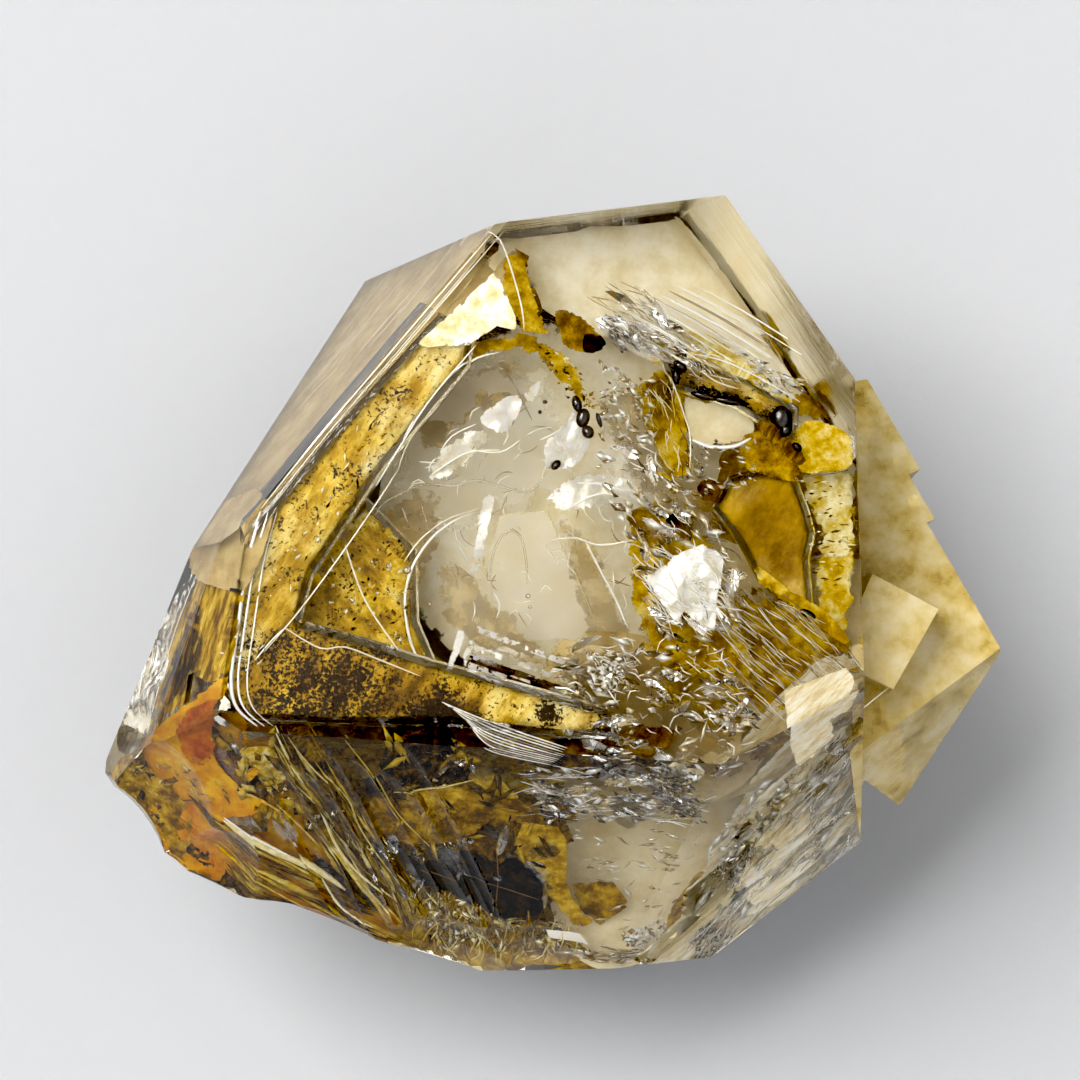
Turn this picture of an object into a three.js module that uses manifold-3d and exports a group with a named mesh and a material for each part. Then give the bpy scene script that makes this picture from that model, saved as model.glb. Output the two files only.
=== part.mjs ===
// Skeletal quartz: a clear crystal that lies on one rhombohedral face, with a smaller crystal grown
// into its side, and the clay and dark matter that fill its hollows. Millimetres, +Z up.
//
// Each crystal is the body bounded by its flat faces. A face is given as a crystallographer gives it:
// the compass azimuth and the tilt of its outward normal (0 faces up, 90 is upright, 180 faces down),
// and its distance from the crystal's centre.

import * as THREE from 'three';
import { ConvexGeometry } from 'three/addons/geometries/ConvexGeometry.js';
import { mergeVertices } from 'three/addons/utils/BufferGeometryUtils.js';
import Module from 'manifold-3d';

const wasm = await Module();
wasm.setup();

// ---- Driving dimensions ----

const HEIGHT = 24;                 // from the face it lies on to the opposite face
const FILL_CLEARANCE = 0.3;        // between a filling and the walls of its hollow
const CENTRE = new THREE.Vector3(0, 0, HEIGHT / 2);

// [azimuth, tilt, distance] of the host crystal's faces
const TOP = [0, 0, HEIGHT / 2];
const REST = [0, 180, HEIGHT / 2];
const LEFT_FACE = [140.3, 71, 15.1];
const LEFT_RIDGE = [140.5, 35, 16.4];
const LEFT_WALL = [153.5, 96, 15.1];
const LEFT_LEDGE = [166, 66, 18.5];
const LEFT_BEVEL = [171.6, 50, 18.9];
const LEFT_TIP = [-178, 94, 23];
const LOWER_LEFT_TIP = [-160, 82, 25.6];
const LOWER_LEFT_EDGE = [-146, 80, 25.2];
const AMBER_FACE = [-122, 52, 19.95];
const FRONT_FACE = [-94, 47, 15.9];
const FRONT_LEFT_WALL = [-110, 100, 21.3];
const FRONT_WALL = [-88, 96, 21.6];
const BROKEN_FACE = [-61.5, 59.5, 18.3];
const RIGHT_FRONT_WALL = [-47, 106, 21.6];
const RIGHT_FACE = [1.5, 88, 16.4];
const BACK_RIGHT_FACE = [34.8, 108, 13];
const BACK_FACE = [97, 91, 15.9];
const BACK_UNDERSIDE = [68, 134, 15];
const LEFT_UNDERSIDE = [-150.7, 133.7, 16.6];
const FRONT_UNDERSIDE = [-41, 142, 19];

const HOST_FACES = [
  TOP, REST, LEFT_FACE, LEFT_RIDGE, LEFT_WALL, LEFT_LEDGE, LEFT_BEVEL, LEFT_TIP, LOWER_LEFT_TIP,
  LOWER_LEFT_EDGE, AMBER_FACE, FRONT_FACE, FRONT_LEFT_WALL, FRONT_WALL, BROKEN_FACE,
  RIGHT_FRONT_WALL, RIGHT_FACE, BACK_RIGHT_FACE, BACK_FACE, BACK_UNDERSIDE, LEFT_UNDERSIDE,
  FRONT_UNDERSIDE,
];

// The smaller crystal grew almost parallel to the host. Its outer face is stepped: each growth layer
// stands further out than the last, and ends further back.
const SIDE_TOP = [30, 4, 6.9];
const SIDE_FACES = [
  SIDE_TOP, [2, 90, 23.9], [-25, 97, 22.9], [-52, 66, 19.3], [100, 93, 5.4], [180, 90, -13.4],
  [-60, 130, 18.6], [20, 158, 14.6], [-130, 95, -2],
];
const SIDE_LAYERS = [
  { outer: [30, 101, 16.5], end: [-60, 90, 30] },
  { outer: [30, 100, 17.1], end: [-68, 88, 6.4] },
  { outer: [30, 99, 17.9], end: [-66, 86, 4.6] },
];
// A small block that grew in the corner between the two crystals
const BLOCK_FACES = [
  [30, 8, 10.6], [155, 88, -15.6], [-30, 89, 19.3], [62, 88, 6.9], [-116, 88, -0.9],
  [0, 180, -2],
];

// Fillings. Each outline is seen from above; the filling lies flat under the face named, so deep
// below it, so thick and with its edges rounded off so far.
const RIM_FILL = {
  under: TOP, depth: 0.9, thickness: 2.8, round: 0.45,
  outline: [
    [-5.1, 11.2], [-9.9, 5.8], [-14.2, 0.6], [-15.3, -3.9], [-15.7, -7.4], [-14.5, -8.8], [-10, -9],
    [-4.5, -9], [1, -9.6], [3.8, -9.7], [3.2, -8.6], [-1, -7.4], [-5.5, -6.2], [-8.6, -5.2],
    [-12.3, -4.2], [-11.6, -1.6], [-8.1, 3.7], [-3.8, 8.9], [-3.5, 10.4],
  ],
};
// Inside the bend the hollow goes deeper, and clay covers its floor.
const FLOOR_FILL = {
  under: TOP, depth: 4, thickness: 1.2, round: 0.4,
  outline: [
    [-8.8, 2], [-6.5, -0.4], [-6.4, -4], [-5.2, -6.6], [-9, -6.4], [-13.2, -5.2], [-12.4, -2.6],
    [-10.6, 0],
  ],
};
const AMBER_FILL = {
  under: AMBER_FACE, depth: 1.3, thickness: 1.5, round: 0.5,
  outline: [
    [-18.6, -12.2], [-17.2, -10.5], [-15.7, -10.8], [-14.7, -12.8], [-14.8, -14.8], [-16.2, -14.5],
    [-17.6, -13.6],
  ],
};
const DARK_FILL = {
  under: FRONT_FACE, depth: 1.2, thickness: 1.5, round: 0.3,
  outline: [[-5.2, -16.1], [-3.6, -15.5], [0.3, -17.1], [0, -18.7], [-2.6, -18.6], [-4.6, -17.6]],
};
const OXIDE_FILL = {
  under: TOP, depth: 3, thickness: 1.3, round: 0.35,
  outline: [[6.4, 9.1], [7.6, 9.3], [10.4, 8.2], [12.8, 6.7], [12.8, 5.4], [12, 5.8], [9.9, 7.1],
    [6.8, 8]],
};
// A leaf of amber clay in a flat hollow beside the oxide
const LEAF_FILL = {
  under: TOP, depth: 3.2, thickness: 0.8, round: 0.3,
  outline: [
    [9.7, 3.1], [11.1, 3.5], [12.7, 3.2], [13.3, 1.6], [13.6, 0.5], [13.3, -0.8], [13.5, -3],
    [12.5, -2.9], [11.2, -1.7], [10.2, 0.2], [9, 1.8],
  ],
};
const FILLS = [RIM_FILL, FLOOR_FILL, AMBER_FILL, DARK_FILL, OXIDE_FILL, LEAF_FILL];

// Fissures join each hollow with the outside, where the clay came in. The last one joins the leaf's
// hollow with the oxide's.
const FISSURE_WIDTH = 0.35;
const FISSURES = [
  { under: TOP, depth: 3.5, outline: [[12.2, 6.4], [17.5, 5.1], [17.5, 3.6], [12.2, 5.7]] },
  { under: TOP, depth: 2, outline: [[-15.1, -5.8], [-20, -7.4], [-20, -8.8], [-15.1, -7.2]] },
  { under: AMBER_FACE, depth: 1.9, outline: [[-17.8, -12.6], [-23, -15], [-22.6, -16], [-17.4, -13.6]] },
  { under: FRONT_FACE, depth: 1.9, outline: [[-2.4, -18], [-0.8, -18], [-0.9, -24], [-2, -24]] },
  { under: TOP, depth: 3.6, outline: [[11.8, 3], [12.4, 3], [12.6, 5.8], [12, 6]] },
];

// Shell-shaped flakes broken from the lower left: where on the face, half its length and width, how
// deep, and how far it is turned, in degrees. On an upright face they lie at FLAKE_HEIGHT.
const FLAKE_HEIGHT = 0.6 * HEIGHT;
const UPRIGHT = 0.4;               // a face is upright if its normal rises or falls less than this
const DISH_BALL = 3;               // the ball that cuts a flake is this many times as deep as it
const FLAKES = [
  { face: AMBER_FACE, at: [-19.6, -13.2], size: [3.2, 5.2], depth: 0.55, turn: 20 },
  { face: LOWER_LEFT_EDGE, at: [-20.6, -14.2], size: [2.6, 3.4], depth: 0.6, turn: 0 },
  { face: AMBER_FACE, at: [-17.4, -16.2], size: [2.4, 4.2], depth: 0.6, turn: -25 },
  { face: FRONT_FACE, at: [-4.6, -20.6], size: [2.2, 3.6], depth: 0.6, turn: 70 },
  { face: FRONT_FACE, at: [-0.6, -20.4], size: [2, 3.2], depth: 0.5, turn: 95 },
  { face: FRONT_LEFT_WALL, at: [-11.6, -19.4], size: [4.2, 2.4], depth: 0.7, turn: 8 },
  { face: LEFT_LEDGE, at: [-20.9, -9.2], size: [1.5, 2.4], depth: 0.5, turn: 10 },
  { face: LEFT_LEDGE, at: [-19.7, -5.9], size: [1.3, 2], depth: 0.45, turn: -12 },
  { face: FRONT_WALL, at: [5.8, -21.2], size: [2.8, 2.6], depth: 0.7, turn: 0 },
  { face: RIGHT_FRONT_WALL, at: [13.6, -18], size: [3, 2.4], depth: 0.7, turn: 20 },
];
// Long ribs run down the broken front: shallow flutes side by side, fanned out towards their lower
// ends. Their ends and widths are uneven.
const FLUTE = {
  face: FRONT_FACE, from: [-13.4, -11.2], to: [-9.4, -20], count: 6, spread: 1.35, fan: 1.15,
  reach: 0.62, halfWidth: 1.14, depth: 0.4, unevenStart: 0.6, unevenEnd: 1.1, unevenWidth: 0.24,
};
// Steps of the broken right front: parallel grooves, each with one steep side
const GROOVE = {
  face: BROKEN_FACE, from: [7.6, -19.4], to: [14.2, -10.4], count: 9, length: 7.5, unevenLength: 2.5,
  depth: 0.42, above: 0.5, azimuth: 40,
  section: { steepTop: -0.935, foot: -0.68, shallowTop: 1.02 },
};
// Skeletal growth left stepped hollows in the middle of the hidden faces. Each step is a rhomb that
// leans by these shares of its width and height.
const RHOMB = { inner: 0.3, outer: 0.35 };
const HOPPERS = [
  { face: BACK_FACE, at: [3, 15.8, 13], steps: [[4.6, 3.4, 0.45], [3, 2, 0.95]] },
  { face: BACK_RIGHT_FACE, at: [10, 10.5, 11], steps: [[5.2, 3.8, 0.4], [3.4, 2.3, 0.85]] },
  { face: LEFT_UNDERSIDE, at: [-11, -8, 7], steps: [[6, 3.6, 0.5], [4, 2.2, 1]] },
];

const QUARTZ = { color: 0xe9e4d8, roughness: 0.05, transparent: true, opacity: 0.45 };
const CLAY = { color: 0xb8913a, roughness: 0.9 };
const AMBER_CLAY = { color: 0xc8721a, roughness: 0.85 };
const DARK_EARTH = { color: 0x1c120a, roughness: 0.6 };
const IRON_OXIDE = { color: 0x4a2c0e, roughness: 0.8 };

// ---- Solids ----

function toSolid(geometry) {
  const bare = geometry.clone();
  bare.deleteAttribute('normal');
  bare.deleteAttribute('uv');
  const merged = mergeVertices(bare, 1e-4);
  return new wasm.Manifold(new wasm.Mesh({
    numProp: 3,
    vertProperties: new Float32Array(merged.attributes.position.array),
    triVerts: new Uint32Array(merged.index.array),
  }));
}

function toGeometry(solid) {
  const mesh = solid.getMesh();
  const geometry = new THREE.BufferGeometry();
  geometry.setAttribute('position', new THREE.BufferAttribute(mesh.vertProperties, 3));
  geometry.setIndex(new THREE.BufferAttribute(mesh.triVerts, 1));
  geometry.computeVertexNormals();
  return geometry;
}

function normalOf([azimuth, tilt]) {
  const a = THREE.MathUtils.degToRad(azimuth);
  const t = THREE.MathUtils.degToRad(tilt);
  return new THREE.Vector3(Math.sin(t) * Math.cos(a), Math.sin(t) * Math.sin(a), Math.cos(t));
}

function planeOf(face) {
  const normal = normalOf(face);
  return new THREE.Plane(normal, -face[2] - normal.dot(CENTRE));
}

// Where three planes meet, or null where they don't
function corner(p, q, r) {
  const qr = new THREE.Vector3().crossVectors(q.normal, r.normal);
  const rp = new THREE.Vector3().crossVectors(r.normal, p.normal);
  const pq = new THREE.Vector3().crossVectors(p.normal, q.normal);
  const volume = p.normal.dot(qr);
  if (Math.abs(volume) < 1e-6) return null;
  return new THREE.Vector3()
    .addScaledVector(qr, -p.constant)
    .addScaledVector(rp, -q.constant)
    .addScaledVector(pq, -r.constant)
    .divideScalar(volume);
}

// The body behind all the given faces
function crystal(faces) {
  const planes = faces.map(planeOf);
  const corners = [];
  for (let i = 0; i < planes.length; i += 1) {
    for (let j = i + 1; j < planes.length; j += 1) {
      for (let k = j + 1; k < planes.length; k += 1) {
        const point = corner(planes[i], planes[j], planes[k]);
        const inside = point && planes.every((plane) => plane.distanceToPoint(point) < 1e-6);
        if (inside && !corners.some((other) => other.distanceTo(point) < 1e-4)) corners.push(point);
      }
    }
  }
  return toSolid(new ConvexGeometry(corners));
}

// The point of a face that lies above or below (x, y)
function onFace(face, x, y) {
  const plane = planeOf(face);
  return new THREE.Vector3(x, y, -(plane.constant + plane.normal.x * x + plane.normal.y * y)
    / plane.normal.z);
}

// Turns +Z to a face's outward normal and +X to level along the face, with the origin at a point
function faceFrame(face, origin) {
  const out = normalOf(face);
  const level = Math.abs(out.z) > 0.999
    ? new THREE.Vector3(1, 0, 0)
    : new THREE.Vector3(-out.y, out.x, 0).normalize();
  const upSlope = new THREE.Vector3().crossVectors(out, level);
  return new THREE.Matrix4().makeBasis(level, upSlope, out).setPosition(origin);
}

// A rounded slab under a face; grow widens it on every side
function slab({ under, depth, thickness, outline, round = 0 }, grow = 0) {
  const origin = onFace(under, ...outline[0]);
  const frame = faceFrame(under, origin);
  const toFlat = frame.clone().invert();
  const shape = new THREE.Shape(outline.map(([x, y]) => {
    const flat = onFace(under, x, y).applyMatrix4(toFlat);
    return new THREE.Vector2(flat.x, flat.y);
  }));
  const full = thickness + 2 * grow;
  const geometry = new THREE.ExtrudeGeometry(shape, {
    depth: full - 2 * round,
    bevelEnabled: round > 0,
    bevelThickness: round,
    bevelSize: round,
    bevelOffset: grow - round,
    bevelSegments: 2,
  });
  geometry.translate(0, 0, round - depth - thickness - grow);
  return toSolid(geometry.applyMatrix4(frame));
}

// A flake struck from a face leaves a shallow dish: the ball that cuts it, flattened. At the face it
// is as long and wide as the flake.
function dish({ face, at, size, depth, turn }) {
  const plane = planeOf(face);
  const middle = Math.abs(plane.normal.z) < UPRIGHT
    ? plane.projectPoint(new THREE.Vector3(at[0], at[1], FLAKE_HEIGHT), new THREE.Vector3())
    : onFace(face, ...at);
  const widthAtFace = Math.sqrt(1 - (1 - 1 / DISH_BALL) ** 2);
  const geometry = new THREE.SphereGeometry(1, 28, 18);
  geometry.scale(size[0] / widthAtFace, size[1] / widthAtFace, depth * DISH_BALL);
  geometry.rotateZ(THREE.MathUtils.degToRad(turn));
  geometry.translate(0, 0, depth * (DISH_BALL - 1));
  return toSolid(geometry.applyMatrix4(faceFrame(face, middle)));
}

// Goes up and down between -1 and 1 from one repeat to the next, and never settles into a pattern
function unevenness(index) {
  return Math.sin(index * 2.1);
}

function flutes(flute) {
  const cuts = [];
  for (let i = 0; i < flute.count; i += 1) {
    const shift = i * flute.spread;
    const uneven = unevenness(i);
    const start = onFace(flute.face, flute.from[0] + shift, flute.from[1] - flute.unevenStart * uneven);
    const end = onFace(
      flute.face,
      flute.to[0] + shift * flute.fan,
      flute.to[1] + flute.unevenEnd * uneven,
    );
    const middle = start.clone().lerp(end, 0.5);
    const frame = faceFrame(flute.face, middle);
    const along = end.clone().sub(start).transformDirection(frame.clone().invert());
    const geometry = new THREE.SphereGeometry(1, 20, 14);
    geometry.scale(
      start.distanceTo(end) * flute.reach,
      flute.halfWidth + flute.unevenWidth * uneven,
      flute.depth * 2,
    );
    geometry.rotateZ(Math.atan2(along.y, along.x));
    geometry.translate(0, 0, flute.depth);
    cuts.push(toSolid(geometry.applyMatrix4(frame)));
  }
  return cuts;
}

function grooves({ face, from, to, count, length, unevenLength, depth, above, azimuth, section }) {
  const cuts = [];
  const wedge = new THREE.Shape([
    new THREE.Vector2(section.steepTop, above), new THREE.Vector2(section.foot, -depth),
    new THREE.Vector2(section.shallowTop, above),
  ]);
  const a = THREE.MathUtils.degToRad(azimuth);
  for (let i = 0; i < count; i += 1) {
    const t = i / (count - 1);
    const x = THREE.MathUtils.lerp(from[0], to[0], t);
    const y = THREE.MathUtils.lerp(from[1], to[1], t);
    const middle = onFace(face, x, y);
    const frame = faceFrame(face, middle);
    const ahead = onFace(face, x + Math.cos(a), y + Math.sin(a)).sub(middle);
    const along = ahead.transformDirection(frame.clone().invert());
    const reach = length + unevenLength * unevenness(i);
    const geometry = new THREE.ExtrudeGeometry(wedge, { depth: reach, bevelEnabled: false });
    geometry.translate(0, 0, -reach / 2);
    geometry.rotateX(Math.PI / 2);
    geometry.rotateZ(Math.atan2(along.y, along.x) + Math.PI / 2);
    cuts.push(toSolid(geometry.applyMatrix4(frame)));
  }
  return cuts;
}

// A stepped hollow, each step smaller and deeper than the last
function hopper({ face, at, steps }) {
  const middle = planeOf(face).projectPoint(new THREE.Vector3(...at), new THREE.Vector3());
  const frame = faceFrame(face, middle);
  return steps.map(([width, height, depth]) => {
    const rhomb = new THREE.Shape([
      new THREE.Vector2(-width / 2, -height * RHOMB.outer),
      new THREE.Vector2(width * RHOMB.inner, -height / 2),
      new THREE.Vector2(width / 2, height * RHOMB.outer),
      new THREE.Vector2(-width * RHOMB.inner, height / 2),
    ]);
    const geometry = new THREE.ExtrudeGeometry(rhomb, { depth: depth + 0.5, bevelEnabled: false });
    geometry.translate(0, 0, -depth);
    return toSolid(geometry.applyMatrix4(frame));
  });
}

// ---- The quartz ----

function quartz() {
  let solid = crystal(HOST_FACES);
  for (const { outer, end } of SIDE_LAYERS) solid = solid.add(crystal([...SIDE_FACES, outer, end]));
  solid = solid.add(crystal(BLOCK_FACES));
  const cuts = [
    ...FLAKES.map(dish),
    ...flutes(FLUTE),
    ...grooves(GROOVE),
    ...HOPPERS.flatMap(hopper),
    ...FILLS.map((fill) => slab(fill, FILL_CLEARANCE)),
    ...FISSURES.map((fissure) => slab({ ...fissure, thickness: FISSURE_WIDTH })),
  ];
  for (const cut of cuts) solid = solid.subtract(cut);
  return solid;
}

function piece(name, solid, finish) {
  const material = new THREE.MeshStandardMaterial({ ...finish, metalness: 0, flatShading: true });
  const mesh = new THREE.Mesh(toGeometry(solid), material);
  mesh.name = name;
  return mesh;
}

const model = new THREE.Group();
model.add(piece('quartz_crystal', quartz(), QUARTZ));
model.add(piece('clay_rim_fill', slab(RIM_FILL), CLAY));
model.add(piece('clay_floor_fill', slab(FLOOR_FILL), CLAY));
model.add(piece('amber_clay_fill', slab(AMBER_FILL), AMBER_CLAY));
model.add(piece('dark_earth_fill', slab(DARK_FILL), DARK_EARTH));
model.add(piece('iron_oxide_bar', slab(OXIDE_FILL), IRON_OXIDE));
model.add(piece('amber_clay_leaf', slab(LEAF_FILL), AMBER_CLAY));

// The origin is on the resting face, under the middle of the whole crystal
const box = new THREE.Box3().setFromObject(model);
const middle = box.getCenter(new THREE.Vector3());
model.position.set(-middle.x, -middle.y, -box.min.z);

export default model;
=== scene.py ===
"""A skeletal quartz crystal: clear quartz with a hollow chamber, cracks, films and bands of clay in it.

What lies inside is placed by where it shows in the photograph: a pixel, the flat face that it is seen
through, and how deep it lies below that face. The sight line is bent at the face as quartz bends it.
"""
import math
import random

import bpy
import bmesh
import numpy as np
from mathutils import Matrix, Vector, noise
from mathutils.bvhtree import BVHTree
from mathutils.geometry import delaunay_2d_cdt


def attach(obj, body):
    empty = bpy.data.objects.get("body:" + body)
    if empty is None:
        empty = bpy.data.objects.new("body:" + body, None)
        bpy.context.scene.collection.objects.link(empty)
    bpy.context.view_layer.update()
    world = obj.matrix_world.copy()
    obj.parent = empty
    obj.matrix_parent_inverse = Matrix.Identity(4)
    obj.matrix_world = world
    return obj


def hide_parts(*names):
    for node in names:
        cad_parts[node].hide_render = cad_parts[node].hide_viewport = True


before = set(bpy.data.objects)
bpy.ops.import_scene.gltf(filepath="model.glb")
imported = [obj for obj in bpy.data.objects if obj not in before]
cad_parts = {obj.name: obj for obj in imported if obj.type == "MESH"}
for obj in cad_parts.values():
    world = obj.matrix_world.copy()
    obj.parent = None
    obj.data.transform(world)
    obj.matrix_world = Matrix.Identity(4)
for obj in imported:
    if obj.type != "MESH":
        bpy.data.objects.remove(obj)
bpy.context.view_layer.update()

MM = 0.001
PHOTO_SIDE = 1080                     # the photograph is square, in pixels
VIEW_TARGET = Vector((-0.54, 2.2, 24)) * MM
VIEW_DISTANCE = 220 * MM
VIEW_ELEVATION = math.radians(86)
VIEW_WIDTH = 54 * MM                  # what the picture spans at the target
PIXELS_PER_MM = PHOTO_SIDE / (VIEW_WIDTH / MM)
SENSOR_MM = 36
QUARTZ_IOR = 1.544
SMOKE = (0.72, 0.60, 0.30)            # what the quartz lets through
SMOKE_DENSITY = 20
BLACK_LEVEL = 0.035                   # what a camera shows as black
FLOOR_DROP = 0.25 * MM                # the crystal's rough underside keeps it just off the paper


def rgb(red, green, blue):
    """A colour as a screen shows it, made linear."""
    return tuple(((c / 255 + 0.055) / 1.055) ** 2.4 if c > 10 else c / 255 / 12.92
                 for c in (red, green, blue))


PAPER = rgb(134, 135, 137)            # grey paper in a strong light, which looks white
WHITE = rgb(252, 251, 247)
RUST = rgb(150, 62, 4)
DARK_BROWN = rgb(44, 24, 10)
PALE_CLAY = rgb(206, 196, 148)
BLACK = rgb(14, 8, 5)

# Colours from dark to bright; a part's tone is its place along one of these
IRON_TONES = [(0.0, rgb(10, 6, 2)), (0.14, rgb(42, 26, 4)), (0.3, rgb(102, 72, 6)),
              (0.45, rgb(158, 122, 14)), (0.6, rgb(202, 170, 50)), (0.72, rgb(216, 200, 126)),
              (0.86, rgb(240, 232, 188)), (1.0, WHITE)]
CLOUD_TONES = [(0.0, rgb(24, 15, 6)), (0.2, rgb(86, 62, 26)), (0.4, rgb(148, 122, 68)),
               (0.58, rgb(196, 174, 122)), (0.75, rgb(222, 210, 172)), (0.9, rgb(244, 240, 222)),
               (1.0, WHITE)]
BREAK_TONES = [(0.0, rgb(110, 84, 40)), (0.5, rgb(200, 174, 118)), (0.8, rgb(242, 226, 182)),
               (1.0, rgb(252, 249, 234))]
AMBER_TONES = [(0.0, rgb(60, 22, 3)), (0.2, rgb(160, 74, 2)), (0.38, rgb(184, 118, 2)),
               (0.55, rgb(204, 150, 6)), (0.72, rgb(228, 190, 40)), (1.0, rgb(250, 232, 150))]
# The smaller crystal's skin, along the lumps of a noise
MILKY_TONES = [(0.31, rgb(134, 106, 26)), (0.42, rgb(186, 160, 80)), (0.52, rgb(205, 184, 122)),
               (0.66, rgb(218, 204, 160))]


def add_object(name, data):
    made = bpy.data.objects.new(name, data)
    bpy.context.scene.collection.objects.link(made)
    return made


def new_mesh(name, points, faces, smooth=False):
    mesh = bpy.data.meshes.new(name)
    mesh.from_pydata([tuple(point) for point in points], [], faces)
    mesh.update()
    mesh.polygons.foreach_set("use_smooth", [smooth] * len(mesh.polygons))
    return mesh


# ---- The camera, and sight lines through a pixel ----

BACKWARD = Vector((0, -math.cos(VIEW_ELEVATION), math.sin(VIEW_ELEVATION)))
RIGHTWARD = Vector((1, 0, 0))
UPWARD = BACKWARD.cross(RIGHTWARD)
EYE = VIEW_TARGET + BACKWARD * VIEW_DISTANCE


def add_camera():
    data = bpy.data.cameras.new("camera")
    data.lens = SENSOR_MM * VIEW_DISTANCE / VIEW_WIDTH
    data.sensor_width = SENSOR_MM
    data.clip_start = 10 * MM
    data.clip_end = 10
    camera = add_object("camera", data)
    axes = Matrix((RIGHTWARD, UPWARD, BACKWARD)).transposed()
    camera.matrix_world = Matrix.Translation(EYE) @ axes.to_4x4()
    bpy.context.scene.camera = camera


def sight_line(px, py):
    across = (px / PHOTO_SIDE - 0.5) * VIEW_WIDTH
    up = (0.5 - py / PHOTO_SIDE) * VIEW_WIDTH
    return (UPWARD * up + RIGHTWARD * across - BACKWARD * VIEW_DISTANCE).normalized()


QUARTZ_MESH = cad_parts["quartz_crystal"].data
CORNERS = [corner.co for corner in QUARTZ_MESH.vertices]
SURFACE = BVHTree.FromPolygons(CORNERS, [polygon.vertices for polygon in QUARTZ_MESH.polygons])
SKIN = 0.25 * MM                      # what would lie outside the crystal is kept this far inside it
ALL_WAYS = [Vector(way) for way in ((0, 0, 1), (0, -1, 0), (1, 0, 0), (-1, 0, 0), (0, 1, 0), (0, 0, -1))]


def enclosed(place):
    """Whether the crystal's surface lies all round a place."""
    return all(SURFACE.ray_cast(place, way)[0] is not None for way in ALL_WAYS)


def buried(corners):
    """Whether a face between enclosed points stays inside, and cuts no corner of the crystal."""
    middles = [sum(corners, Vector()) / len(corners)]
    middles += [(a + b) / 2 for a, b in zip(corners, corners[1:] + corners[:1])]
    return all(enclosed(middle) for middle in middles)


class Window:
    """A flat face of the crystal that what lies behind it is seen through."""

    def __init__(self, azimuth, tilt, corners):
        a = math.radians(azimuth)
        t = math.radians(tilt)
        self.normal = Vector((math.sin(t) * math.cos(a), math.sin(t) * math.sin(a), math.cos(t)))
        self.offset = max(self.normal.dot(corner) for corner in corners)

    def point(self, px, py, depth):
        """The same as `sighted`, but never outside the crystal."""
        place = self.sighted(px, py, depth)
        if enclosed(place):
            return place
        near, normal, _, _ = SURFACE.find_nearest(place)
        return near - normal * SKIN

    def sighted(self, px, py, depth):
        """The place seen at a pixel that lies `depth` millimetres below the face."""
        line = sight_line(px, py)
        facing = -self.normal.dot(line)
        surface = EYE + line * ((self.normal.dot(EYE) - self.offset) / facing)
        ratio = 1 / QUARTZ_IOR
        inward = math.sqrt(1 - ratio ** 2 * (1 - facing ** 2))
        bent = line * ratio + self.normal * (ratio * facing - inward)
        return surface + bent * (depth * MM / inward)


TOP = Window(0, 0, CORNERS)
LEFT = Window(140.3, 71, CORNERS)
LEDGE = Window(166, 66, CORNERS)
RIDGE = Window(140.5, 35, CORNERS)
AMBER = Window(-122, 52, CORNERS)
FRONT = Window(-94, 47, CORNERS)
BROKEN = Window(-61.5, 59.5, CORNERS)


# ---- Meshes ----

GRID_ROW = 0.866                      # how far apart the rows of a grid of triangles are, in its spacing
EDGE_ROOM = 0.5                       # how near the grid comes to the outline, in its spacing
INSIDE_ONLY = 1                       # the triangulation's setting that keeps what is inside
SAME_PLACE = 0.01                     # points nearer than this are one, in pixels
NO_RISE = 1e-9                        # stands in for the height of a level edge
LUMPS = (0.9, 2.1, 4)                 # a sheet's noise: how smooth, how much finer each time, how often
LUMPS_APART = 7.3                     # how far the noises of two seeds lie apart
LEAST_DEPTH = 0.12                    # how near a sheet comes to the face, in mm
BLUNT = 0.7                           # how far a tube's closed end sticks out, as a part of its radius
TIP_WIDTH = 0.35                      # how wide a thread is at its ends, as a part of its width
TAPER = 4                             # how fast it widens from there
CRACK_SIDES = 8
CRACK_GAP = 0.025                     # half the width of an open crack, in mm
CRACK_LEAN = 0.5                      # how much deeper one end of it may lie than its middle, in mm


def fine_line(points, spacing, closed=False):
    """A smooth curve through pixels, with a point about every `spacing` pixels."""
    knots = [Vector(p) for p in points]
    count = len(knots)
    line = []
    for i in range(count if closed else count - 1):
        if closed:
            a, b, c, d = (knots[(i + k) % count] for k in (-1, 0, 1, 2))
        else:
            a, b, c, d = (knots[min(max(i + k, 0), count - 1)] for k in (-1, 0, 1, 2))
        steps = max(1, round((c - b).length / spacing))
        for s in range(steps):
            t = s / steps
            line.append(0.5 * (2 * b + (c - a) * t + (2 * a - 5 * b + 4 * c - d) * t ** 2
                               + (3 * b - a - 3 * c + d) * t ** 3))
    if not closed:
        line.append(knots[-1])
    return line


def straight_line(points, spacing):
    """The outline itself, closed, with a point about every `spacing` pixels."""
    line = []
    for i, start in enumerate(points):
        end = Vector(points[(i + 1) % len(points)])
        steps = max(1, round((end - Vector(start)).length / spacing))
        line += [Vector(start).lerp(end, s / steps) for s in range(steps)]
    return line


def edge_distance(points, outline):
    """How far each point is from an outline, and whether it is inside."""
    p = np.array(points, float)[:, None, :]
    a = np.array(outline, float)[None, :, :]
    b = np.roll(a, -1, axis=1)
    along = np.clip(((p - a) * (b - a)).sum(2) / ((b - a) ** 2).sum(2), 0, 1)
    distance = np.linalg.norm(p - a - along[..., None] * (b - a), axis=2).min(1)
    crosses = (a[..., 1] > p[..., 1]) != (b[..., 1] > p[..., 1])
    rise = np.where(b[..., 1] == a[..., 1], NO_RISE, b[..., 1] - a[..., 1])
    left = p[..., 0] < a[..., 0] + (p[..., 1] - a[..., 1]) / rise * (b[..., 0] - a[..., 0])
    return distance, (crosses & left).sum(1) % 2 == 1


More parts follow.
